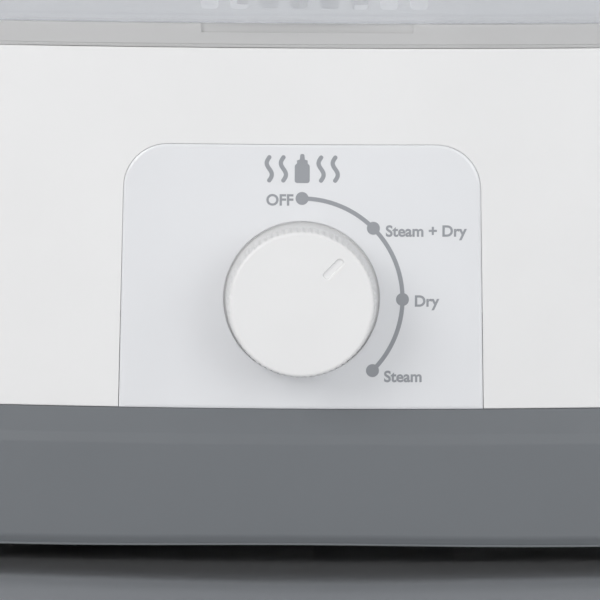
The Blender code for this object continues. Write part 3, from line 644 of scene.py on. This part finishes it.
def panel_outline(grow=0.0, low_z=None, slack=0.0):
    """The control panel seen from the front, with enough points to follow the bowed wall.

    Slack is how much narrower each side is at the foot.
    """
    bottom = SEAM_Z + GAP - grow if low_z is None else low_z
    top, radius = PANEL_TOP_Z + grow, PANEL_CORNER + grow
    low, high = PANEL_HALF_LOW + grow - slack, PANEL_HALF_HIGH + grow
    right = [(low + (high - low) * i / 10, bottom + (top - radius - bottom) * i / 10) for i in range(10)]
    for i in range(13):
        turn = math.pi / 2 * i / 12
        right.append((high - radius + radius * math.cos(turn), top - radius + radius * math.sin(turn)))
    across = [(high - radius) * (1 - i / 12) for i in range(1, 12)]
    right += [(x, top) for x in across]
    below = [(low * i / 14, bottom) for i in range(-13, 14)]
    return right + [(0, top)] + [(-x, z) for x, z in reversed(right)] + below


def panel_edge(grow=0.0):
    """The panel's own edge, which leaves a thin joint all round that opens a little towards the foot."""
    return panel_outline(GAP - JOINT / 2 + grow, slack=0.2)


def notch_outline(grow=0.0):
    """The notch that the panel stands in, which runs out through the body's lower edge."""
    return panel_outline(GAP + grow, low_z=SEAM_Z - 6)


def well_outline(grow=0.0):
    """The dial's round well seen from the front."""
    return [(x, DIAL_Z + y) for x, y, _ in circle(WELL_RADIUS + grow, 0, WELL_SIDES)]


def filter_window(grow=0.0):
    """The filter's window as a block with round corners through the rear wall."""
    low, high = corners("filter_cover")
    place = ((low.x + high.x) / 2, BODY_Y, (low.z + high.z) / 2)
    half_width, half_height = (high.x - low.x) / 2 + GAP + grow, (high.z - low.z) / 2 + GAP + grow
    sheet = [(half_width, -half_height, 2.5), (half_width, half_height, 2.5)]
    points = rounded(mirrored(sheet), 6)
    return placed(prism(points, 77, 108), place, TOWARDS_REAR)


def white_wall(rise=0.0):
    """A band like the white wall, standing proud of it by rise, to cut the panel or the filter cover from."""
    low, high, thickness = SEAM_Z - 0.5, RIM_Z - 0.8, 2.4
    profile = [(wall_inset(low) - rise, low), (wall_inset(high) - rise, high)]
    return shell(profile + [(inset + thickness, z) for inset, z in reversed(profile)], closed=True)


def white_shell():
    """White upper shell: leaning wall with a flat rim, and the sunken deck of the chamber."""
    low = SEAM_Z + JOINT
    under = [(5.5, DECK_Z - WALL, 0), (5.5, RIM_Z - WALL, 0.5)]
    wall = [(WALL + DRAFT, RIM_Z - WALL, 0.5), (WALL, low, 0.2)]
    wall += [(wall_inset(low), low, 0.3), (wall_inset(RIM_Z), SEAT_Z, 0.3)]
    deck = [(8.0, SEAT_Z, 0.8), (8.6, DECK_Z, 1.6), (12.0, DECK_Z, 0)]
    profile = rounded([*under, *wall, *deck], 6, closed=False)
    white = draft(shell(profile))
    for side in SIDES:
        screw = middle(f"housing_screw_{side}")
        join(white, turned_at([(4.2, 12), (5, DECK_Z - 1.5)], screw))
        cut(white, turned_at([(1.8, 10), (1.8, 30)], screw))
    for side in ("left", "right"):
        screw = middle(f"clamp_screw_{side}")
        join(white, turned_at([(4.4, 95), (4.8, DECK_Z - 1.5)], screw))
        cut(white, turned_at([(1.5, 92), (1.5, 107)], screw))
    duct = middle("air_heater")
    dish_hole = [(62, 105), (62, DECK_Z - 0.5), (62.6, DECK_Z + 0.1), (62.6, DECK_Z + 4)]
    cut(
        white,
        turned_at(dish_hole, PLATE, 128),
        block((38, 26, 12), (duct.x, duct.y, DECK_Z - 1)),
        filter_window(),
        window_cutter(notch_outline, INSIDE_Y, (0.15, 0.15), 1),
    )
    piece(white, "white_shell", MATERIALS["white_plastic"], "base", "white_plastic", "body_shell")


def panel():
    """Cool white insert with a rounded edge, and the well that the dial turns in."""
    made = draft(white_wall(PANEL_RISE))
    keep(made, window_cutter(panel_edge, INSIDE_Y, (1.0, 0.38), -1, PANEL_RISE))
    place = (0, PANEL_Y, DIAL_Z)
    cup_radius = WELL_RADIUS + 1.7
    cup = turned([(cup_radius, -WELL_DEPTH - 2), (cup_radius, -1)], 96)
    shaft_hole = turned([(5.1, -WELL_DEPTH - 5), (5.1, 0)])
    join(made, placed(cup, place, TOWARDS_USER))
    cut(
        made,
        window_cutter(well_outline, PANEL_Y + WELL_DEPTH, (0.3, 0.3), 1, PANEL_RISE),
        placed(shaft_hole, place, TOWARDS_USER),
    )
    piece(made, "front_panel", MATERIALS["panel_white"], "base", "panel_white", "control_panel")


# ---------------------------------------------------------------- printing on the panel

ARC_RADIUS, ARC_WIDTH, DOT_RADIUS, STEP = 23.6, 1.0, 1.52, math.radians(45)
CAP_HEIGHT = 2.65
TYPE_CAP = 0.73  # height of a capital in Blender's own typeface at size 1
INK_LOW, INK_HIGH = -0.03, 0.035  # a printed stroke starts below the panel's surface and ends above it
LABELS = (  # words, and where their first letter stands from the dial's middle
    ("OFF", -8.35, 22.0),
    ("Steam + Dry", 19.6, 14.8),
    ("Dry", 26.5, -1.6),
    ("Steam", 19.4, -19.3),
)


def printed(mesh, name):
    """Lays a thin flat solid, drawn in X and Y from the dial's middle, onto the panel's surface."""
    for vertex in mesh.verts:
        x, z, height = vertex.co.x, vertex.co.y + DIAL_Z, vertex.co.z
        vertex.co = (x, wall_y(x, z) - PANEL_RISE - height, z)
    piece(draft(mesh), name, MATERIALS["ink"], "base", "panel_white")


def ribbon(points, width):
    """A flat stroke with round ends along (x, y) points."""
    path = [Vector(p) for p in points]
    left, right = [], []
    for i, here in enumerate(path):
        along = (path[min(i + 1, len(path) - 1)] - path[max(i - 1, 0)]).normalized()
        across = Vector((-along.y, along.x)) * width / 2
        left.append(here + across)
        right.append(here - across)
    mesh = bmesh.new()
    rows = []
    for sides in zip(left, right):
        rows.append([mesh.verts.new((*p, z)) for p in sides for z in (INK_LOW, INK_HIGH)])
    for (a, b, c, d), (e, f, g, h) in zip(rows, rows[1:]):
        for face in ((b, f, h, d), (a, c, g, e), (a, e, f, b), (c, d, h, g)):
            mesh.faces.new(face)
    for a, b, c, d in (rows[0], rows[-1]):
        mesh.faces.new((a, b, d, c))
    ends = [placed(disc(width / 2, INK_HIGH - 0.004), (*path[i], 0)) for i in (0, -1)]
    return [mesh, *ends]


def disc(radius, high):
    return turned([(radius, INK_LOW), (radius, high)], 40)


def on_arc(turn):
    """The point of the printed arc at a turn clockwise from OFF."""
    return ARC_RADIUS * math.sin(turn), ARC_RADIUS * math.cos(turn)


def dial_scale():
    """A dot for each dial position, joined by an arc."""
    arc = [on_arc(3 * STEP * i / 54) for i in range(55)]
    printed(merged(ribbon(arc, ARC_WIDTH)), "printed_arc")
    dots = [placed(disc(DOT_RADIUS, 0.045), (*on_arc(STEP * i), 0)) for i in range(4)]
    printed(merged(dots), "printed_dots")


def bottle_sign():
    """A feeding bottle between rising wisps, as a plain sign for steaming bottles."""
    base, height = 27.2, 6.8
    right = [(1.75, base, 0.6), (1.75, base + 4.1, 0.7), (1.25, base + 4.6, 0.1), (1.25, base + 5.3, 0.15)]
    teat = [(0.6, base + 5.5, 0.1), (0.45, base + height, 0.4)]
    printed(prism(rounded(mirrored(right + teat)), INK_LOW, INK_HIGH), "printed_bottle_sign")
    wisps = []
    wave, sway = 5.4, 0.6
    heights = [wave * i / 24 for i in range(25)]
    for x in (-7.2, -3.9, 4.9, 8.2):
        path = [(x - 0.5 + sway * math.sin(math.tau * h / wave), base + 0.6 + h) for h in heights]
        wisps += ribbon(path, ARC_WIDTH)
    printed(merged(wisps), "printed_wisps")


def lettering(words, x, y, name):
    """Words in Blender's own typeface, a little bolder than it comes."""
    curve = bpy.data.curves.new(name, "FONT")
    curve.body = words
    curve.size = CAP_HEIGHT / TYPE_CAP
    curve.offset = 0.10
    curve.extrude = 0.02
    curve.resolution_u = 6
    writer = bpy.data.objects.new(name, curve)
    bpy.context.scene.collection.objects.link(writer)
    graph = bpy.context.evaluated_depsgraph_get()
    data = bpy.data.meshes.new_from_object(writer.evaluated_get(graph))
    bpy.data.objects.remove(writer)
    mesh = bmesh.new()
    mesh.from_mesh(data)
    bmesh.ops.remove_doubles(mesh, verts=mesh.verts, dist=0.001)
    left = min(vertex.co.x for vertex in mesh.verts)
    printed(placed(mesh, (x - left, y, 0.015)), name)


def print_panel():
    """The dial's scale, the sign above it and the words at its positions."""
    dial_scale()
    bottle_sign()
    for i, (words, x, y) in enumerate(LABELS):
        lettering(words, x, y, f"printed_label_{i}")


# ---------------------------------------------------------------- dial


def ridged_circle(radius, height, depth):
    """A ring that steps smoothly in and out, for the grip ridges."""
    count = KNOB_RIDGES * POINTS_PER_RIDGE
    points = []
    for i in range(count):
        turn = 2 * math.pi * i / count
        groove = (0.5 - 0.5 * math.cos(KNOB_RIDGES * turn)) ** 1.5
        reach = radius - depth * groove
        points.append((reach * math.cos(turn), reach * math.sin(turn), height))
    return points


def pointer_cutter():
    """The pointer's recess, with a soft edge. Local Z points at the user."""
    length, width, depth, edge = 5.9, 1.8, 0.45, 0.22
    x, y = 7.4, 8.35
    rows = [(-0.25, -depth), (-0.10, -depth + 0.05), (0.0, -depth + 0.2)]
    for i in range(1, 5):
        turn = math.radians(20 * i)
        rows.append((edge * (1 - math.cos(turn)), -edge * (1 - math.sin(turn))))
    rows.append((edge * 1.4, 2.0))
    rings = [[(*point, KNOB_HEIGHT + z) for point in stadium(length, width, grow)] for grow, z in rows]
    return placed(loft(rings), (x, y, 0), Matrix.Rotation(-DIAL_REST, 4, "Z"))


def knob():
    """Slightly conical knob: a skirt in the well, a plain foot, a ridged grip and a rounded, flat face."""
    skirt, foot, rim, edge = WELL_RADIUS - 0.02, KNOB_RADIUS - 0.05, KNOB_RADIUS - 0.65, 1.05
    grip_low, grip_high = 5.6, KNOB_HEIGHT - edge
    plain = [(WELL_RADIUS - 0.35, -KNOB_BACK), (skirt, -KNOB_BACK + 0.3), (skirt, -1.0)]
    plain += [(foot + 0.15, -0.95), (foot, -0.8)]
    rings = [ridged_circle(radius, height, 0.0) for radius, height in plain]
    grip = ((grip_low, 0.0), (grip_low + 0.5, 0.6), (grip_low + 1.2, 1.0), (grip_high, 1.0))
    for height, fade in grip:
        rings.append(ridged_circle(foot + (rim - foot) * height / grip_high, height, RIDGE_DEPTH * fade))
    for i in range(1, 8):
        turn = math.pi / 2 * i / 7
        radius = rim - edge * (1 - math.cos(turn))
        fade = max(0.0, 1 - i / 4)
        rings.append(ridged_circle(radius, KNOB_HEIGHT - edge * (1 - math.sin(turn)), RIDGE_DEPTH * fade))
    place = (0, PANEL_Y, DIAL_Z)
    made = draft(placed(loft(rings), place, TOWARDS_USER))
    parts = [
        turned([(15.4, -9), (15, KNOB_HEIGHT - 2.8)]),
        turned([(5.6, -4.6), (5.9, KNOB_HEIGHT - 1.9)], 40),
        turned([(3.3, -6), (3.3, 9.5)], 32),
        pointer_cutter(),
    ]
    hollow, hub, bore, pointer = [placed(mesh, place, TOWARDS_USER) for mesh in parts]
    cut(made, hollow)
    join(made, hub)
    cut(made, bore, pointer)
    piece(made, "ridged_knob", MATERIALS["white_plastic"], "dial", "white_plastic", "dial_knob")


# ---------------------------------------------------------------- heating plate and air outlet


def water_dish():
    """Steel dish, with a rolled rim, a step and a shallow dome in its floor."""
    wall = [(49, 103.5, 3), (55.5, 107, 3), (57.5, 110, 2)]
    rim = [(57.5, 113.4, 0.5), (56, 113.4, 0.5), (56, 110.4, 2)]
    floor = [(54.2, 108.2, 3), (48.5, 105.0, 3), (40, 105.0, 3), (37, 105.5, 3), (12, 105.6, 0)]
    made = draft(turned_at(rounded([*wall, *rim, *floor], 5, closed=False), PLATE, 160))
    piece(made, "water_dish", MATERIALS["steel"], "base", "steel", "heating_plate")


def ring_seal():
    """Silicone seal round the dish, with a soft bead."""
    inner, outer = 57.9, 62.0 - GAP
    path = [(inner, 107.8, 0.3), (outer, 107.8, 0.3), (outer, DECK_Z + GAP, 0.1), (65.5, DECK_Z + GAP, 0.3)]
    path += [(65.2, 113.6, 0.7), (60, 114.3, 1.5), (inner, 114.0, 0.5)]
    made = draft(placed(turned(rounded(path), 128, closed=True), (PLATE.x, PLATE.y, 0)))
    piece(made, "ring_seal", MATERIALS["silicone"], "base", "silicone", "plate_seal")


def chimney():
    """Low chimney on the deck, with windows at its sides and a rounded cap."""
    duct = middle("air_outlet")
    made = draft(block((46, 34, 1.6), (duct.x, duct.y, DECK_Z + 1.1)))
    join(made, block((37, 25, 17), (duct.x, duct.y, DECK_Z + 0.3)))
    soften(made, 0.7, 3)
    cut(made, block((33, 21, 18), (duct.x, duct.y, DECK_Z - 2.2)))
    windows = [block((3, 40, 3.2), (duct.x + x, duct.y, DECK_Z + 4.6)) for x in (-12, -6, 0, 6, 12)]
    cut(made, merged(windows))
    piece(made, "air_chimney", MATERIALS["white_plastic"], "base", "white_plastic", "air_outlet")


def louvred_cover():
    """Rear filter cover with two columns of round-ended louvres, and the frame behind it."""
    low, high = corners("filter_cover")
    x, z = (low.x + high.x) / 2, (low.z + high.z) / 2
    width, height = high.x - low.x - 3.4, high.z - low.z - 3.4
    made = draft(white_wall())
    keep(made, filter_window(-GAP * 2))
    join(made, block((width, 17, height), (x, BODY_Y + 85, z)))
    cut(made, block((width - 3, 20, height - 3), (x, BODY_Y + 79.5, z)))
    louvres = []
    for side in (-12.5, 12.5):
        for step in range(-12, 13, 4):
            flat = placed(prism(stadium(22, 2), 80, 112), turn=LYING)
            louvres.append(placed(flat, (x + side, BODY_Y, z + step), TOWARDS_REAR))
    grip = placed(prism(stadium(26, 3.2), 102.6, 112), turn=LYING)
    cut(made, merged(louvres), placed(grip, (x, BODY_Y, z + 17.2), TOWARDS_REAR))
    piece(made, "louvred_cover", MATERIALS["white_plastic"], "filter", "white_plastic", "filter_cover")


# ---------------------------------------------------------------- rack and tray


def peg(x, y):
    """A cross-shaped peg with soft corners, a flared root and a rounded tip."""
    top = RACK_FLOOR_Z + 46
    rows = [(13.4, 1.6, RACK_FLOOR_Z - 1), (13.2, 1.6, RACK_FLOOR_Z), (12.2, 1.2, RACK_FLOOR_Z + 1.4)]
    rows += [(6.2, 1.0, top - 1.5), (5.9, 0.9, top - 0.5), (5.2, 0.5, top)]
    rings = []
    for reach, half, z in rows:
        side = [(reach, -half, 0.5), (reach, half, 0.5), (half, half, 0.4), (half, reach, 0.5)]
        side += [(-half, reach, 0.5), (-half, half, 0.4)]
        cross = rounded(side + [(-px, -py, r) for px, py, r in side], 3)
        rings.append([(x + px, y + py + BODY_Y, z) for px, py in cross])
    return loft(rings)


def rack():
    """Frosted rack: flange, locating skirt, slotted floor, low basket wall and pegs."""
    low, under = SEAT_Z + JOINT / 2, RACK_FLOOR_Z - RACK_FLOOR
    skirt = [(11.4, under, 0.8), (11.4, DECK_Z + 2, 0.5), (9.4, DECK_Z + 2, 0.5), (9.0, low, 0.6)]
    flange = [(1.9, low, 0.25), (1.8, low + 0.75, 0.1), (1.62, low + 0.95, 0.1), (1.58, FLANGE_Z, 0.15)]
    basket = [(9.6, FLANGE_Z, 0.8), (10.4, BASKET_Z, 0.7), (12.2, BASKET_Z, 0.7), (11.6, RACK_FLOOR_Z, 1.2)]
    profile = [(14.0, under, 0), *skirt, *flange, *basket, (14.0, RACK_FLOOR_Z, 0)]
    made = draft(shell(rounded(profile, 4, closed=False)))
    join(made, *[peg(x, y) for x, y in PEGS])
    drains = []
    for x, y in PEGS:
        for i in range(4):
            turn = math.pi / 2 * i
            place = (x + 23 * math.cos(turn), y + 23 * math.sin(turn) + BODY_Y, RACK_FLOOR_Z - 1.2)
            drains.append(slots([place], 14, 3.2, 8, Matrix.Rotation(turn, 4, "Z")))
    sheet = rounded(mirrored([(16, -12, 3), (16, 12, 3)]))
    windows = [placed(prism(sheet, -4, 4), (x, BODY_Y, RACK_FLOOR_Z - 1.2)) for x in PEG_COLUMNS]
    comb = []
    for y in (-92, 92):
        for i in range(8):
            comb.append(comb_slot(COMB_X + 7 * (i - 3.5), y + BODY_Y))
    front = BODY_Y - HALF_DEPTH
    cut(
        made,
        merged(drains),
        merged(windows),
        merged(comb),
        block((49.5, 5.8, 3), (NOTCH_X, front, FLANGE_Z - 0.6)),
        block((130, 14, 1.2), (NOTCH_X, front + 2, SEAT_Z - 0.6 + 1.5 * JOINT)),
    )
    piece(made, "frosted_rack", MATERIALS["frosted_plastic"], "rack", "frosted_plastic", "bottle_rack")


def comb_slot(x, y):
    """An upright slot with rounded corners through the basket's front or rear wall."""
    sheet = rounded(mirrored([(2.1, -5.4, 0.9), (2.1, 6.5, 0.9)]))
    return placed(prism(sheet, -8, 8), (x, y, 136), TOWARDS_REAR)


def posts():
    """Stepped posts that carry the tray, with a collar at the foot."""
    top = corners("tray_post_left")[1].z
    low = RACK_FLOOR_Z + GAP
    collar = [(0.5, low, 0), (9.5, low, 0.4), (9.5, low + 2, 1.0), (6.6, low + 4, 2.0)]
    path = [*collar, (5.8, top, 1.0), (0.5, top, 0)]
    frosted = MATERIALS["frosted_plastic"]
    for name, x in zip(("left", "right"), TRAY_POSTS):
        made = draft(placed(turned(rounded(path, 5, closed=False)), (x, BODY_Y, 0)))
        piece(made, f"turned_post_{name}", frosted, "rack", "frosted_plastic", f"tray_post_{name}")


def tray():
    """Shallow slotted basket for teats and rings, with a rolled rim and sockets for the posts."""
    rim = [(24.4, TRAY_TOP_Z - 2.2, 0.5), (22.4, TRAY_TOP_Z - 2.0, 0.5), (22.4, TRAY_TOP_Z, 0.8)]
    below = [(32, TRAY_FLOOR_Z - 2.5, 0), (28.0, TRAY_FLOOR_Z - 2.5, 1.5), (25.6, TRAY_FLOOR_Z - 0.5, 2.0)]
    inner = [(26.2, TRAY_TOP_Z, 0.8), (28.0, TRAY_FLOOR_Z, 2.0), (32, TRAY_FLOOR_Z, 0)]
    made = draft(shell(rounded([*below, *rim, *inner], 4, closed=False)))
    for x in TRAY_POSTS:
        socket = [(8.4, TRAY_FLOOR_Z - 12.5), (8.8, TRAY_FLOOR_Z - 12), (8.8, TRAY_FLOOR_Z - 1.5)]
        join(made, placed(turned(socket), (x, BODY_Y, 0)))
    for x in TRAY_POSTS:
        bore = [(6.6, TRAY_FLOOR_Z - 16), (6.2, TRAY_FLOOR_Z - 4.7)]
        cut(made, placed(turned(bore), (x, BODY_Y, 0)))
    rows = (-52, -39, -26, -13, 13, 26, 39, 52)
    places = [(x, BODY_Y + y, TRAY_FLOOR_Z - 1) for y in rows for x in (-64, 0, 64)]
    window = rounded(mirrored([(5, -5, 1.5), (5, 5, 1.5)]))
    windows = []
    for x in range(-66, 67, 22):
        windows.append(placed(prism(window, -85, 85), (x, BODY_Y, TRAY_FLOOR_Z + 12.5), TOWARDS_REAR))
    cut(made, slots(places, 32, 4, 8, LYING), merged(windows))
    piece(made, "slotted_tray", MATERIALS["tray_plastic"], "tray", "tray_plastic", "accessory_tray")


# ---------------------------------------------------------------- cover


def cover():
    """Tall clear cover with a beaded lower edge, a domed shoulder and steam slots."""
    low, top = FLANGE_Z + JOINT / 4, COVER_TOP_Z
    inner = [(60, top - 2.4, 0), (46, top - 2.4, 6), (15.2, top - 8.1, 23), (4.6, low, 0.4)]
    bead = [(1.6, low, 0.1), (1.3, low + 0.2, 0.15), (1.3, low + 0.5, 0.2), (1.6, low + 0.8, 0.2)]
    bead += [(1.6, low + 1.7, 0.3), (2.0, low + 2.3, 0.4), (2.3, low + 5.8, 3)]
    outer = [(13.2, top - 5.4, 26), (46, top, 6), (60, top, 0)]
    made = draft(shell(rounded([*inner, *bead, *outer], 8, closed=False)))
    places = [(x, BODY_Y + y, top - 1) for x in (-8, 0, 8) for y in (-26, 26)]
    holes = [placed(turned([(2.2, -9), (2.2, 6)], 24), (x, BODY_Y, top)) for x in HANDLE_SCREWS]
    cut(made, slots(places, 16, 3, 8), merged(holes))
    piece(made, "tall_cover", MATERIALS["clear_plastic"], "cover", "clear_plastic", "clear_cover")


def handle():
    """Arched grip over the steam slots."""
    low, high = COVER_TOP_Z + GAP, HANDLE_TOP_Z
    arch = rounded(mirrored([(50, low, 0), (44.5, high, 11)]), 10)
    made = draft(placed(prism(arch, -11, 11), (0, BODY_Y, 0), TOWARDS_USER))
    finger_gap = rounded(mirrored([(27, low - 2, 0), (24, high - 6.5, 7)]), 10)
    cut(made, placed(prism(finger_gap, -20, 20), (0, BODY_Y, 0), TOWARDS_USER))
    soften(made, 2.2, 4)
    bores = [placed(turned([(1.6, low - 4), (1.6, low + 9.7)], 24), (x, BODY_Y, 0)) for x in HANDLE_SCREWS]
    cut(made, merged(bores))
    piece(made, "arched_handle", MATERIALS["white_plastic"], "cover", "white_plastic", "cover_handle")


# ---------------------------------------------------------------- pieces that keep their CAD shape


def dress_frame():
    """Gives every CAD node the detailed material of its slot."""
    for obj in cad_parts.values():
        for slot in obj.material_slots:
            plain = slot.material.name.split(".")[0]
            slot.material = MATERIALS[plain]


# ---------------------------------------------------------------- studio

FLOOR_HALF = 20000
LAMPS = (  # name, place in metres, size in metres, watts, colour
    ("key", (-2.0, -2.0, 1.5), 1.8, 43, (1.0, 0.99, 0.98)),
    ("right", (1.9, -2.1, 1.0), 1.8, 24, (0.99, 1.0, 1.0)),
    ("fill", (0.5, -3.0, 0.6), 2.2, 9, (1.0, 1.0, 1.0)),
    ("sky", (0.0, -1.6, 2.1), 2.4, 7, (1.0, 1.0, 1.0)),
    ("top", (-0.1, 0.64, 1.95), 0.7, 11, (1.0, 1.0, 1.0)),
    ("back", (0.35, 2.6, 1.2), 2.4, 45, (1.0, 1.0, 1.0)),
)
LIT_POINT = Vector((0, 0, 0.12))  # what every lamp is aimed at


def studio():
    """Pale floor, even pale surroundings, and large soft lights, the main one high on the left."""
    mesh = bmesh.new()
    bmesh.ops.create_grid(mesh, x_segments=8, y_segments=8, size=FLOOR_HALF)
    floor = draft(mesh, "floor")
    floor.data.materials.append(studio_floor())
    world = bpy.data.worlds.new("studio")
    world.use_nodes = True
    background = world.node_tree.nodes["Background"]
    background.inputs["Color"].default_value = (0.97, 0.98, 1.0, 1)
    background.inputs["Strength"].default_value = 0.27
    bpy.context.scene.world = world
    for settings in LAMPS:
        lamp(*settings)


def lamp(name, place, size, power, colour):
    """A square soft box."""
    light = bpy.data.lights.new(name, "AREA")
    light.size = size
    light.energy = power
    light.color = colour
    obj = bpy.data.objects.new(name, light)
    obj.location = place
    obj.rotation_euler = (LIT_POINT - Vector(place)).to_track_quat("-Z", "Y").to_euler()
    bpy.context.scene.collection.objects.link(obj)


# The camera, in metres
VIEW_DISTANCE = 2.6
VIEW_WIDTH = 0.1402  # what the picture spans at the panel
VIEW_ELEVATION, VIEW_ROLL = math.radians(5.6), math.radians(0.33)
VIEW_TARGET = Vector((-0.00035, PANEL_Y * MM, DIAL_Z * MM - 0.0002))


def camera():
    """A long lens from a little above the dial, tilted very slightly."""
    data = bpy.data.cameras.new("camera")
    data.sensor_width = 36
    data.lens = data.sensor_width * VIEW_DISTANCE / VIEW_WIDTH
    obj = bpy.data.objects.new("camera", data)
    back = Vector((0, -math.cos(VIEW_ELEVATION), math.sin(VIEW_ELEVATION)))
    facing = (-back).to_track_quat("-Z", "Y").to_matrix()
    rolled = facing @ Matrix.Rotation(VIEW_ROLL, 3, "Z")
    obj.matrix_world = Matrix.Translation(VIEW_TARGET + back * VIEW_DISTANCE) @ rolled.to_4x4()
    bpy.context.scene.collection.objects.link(obj)
    bpy.context.scene.camera = obj
    bpy.context.scene.view_settings.view_transform = "Standard"


camera()
studio()
dress_frame()
grey_housing()
feet()
gland()
white_shell()
panel()
print_panel()
knob()
water_dish()
ring_seal()
chimney()
louvred_cover()
rack()
posts()
tray()
cover()
handle()
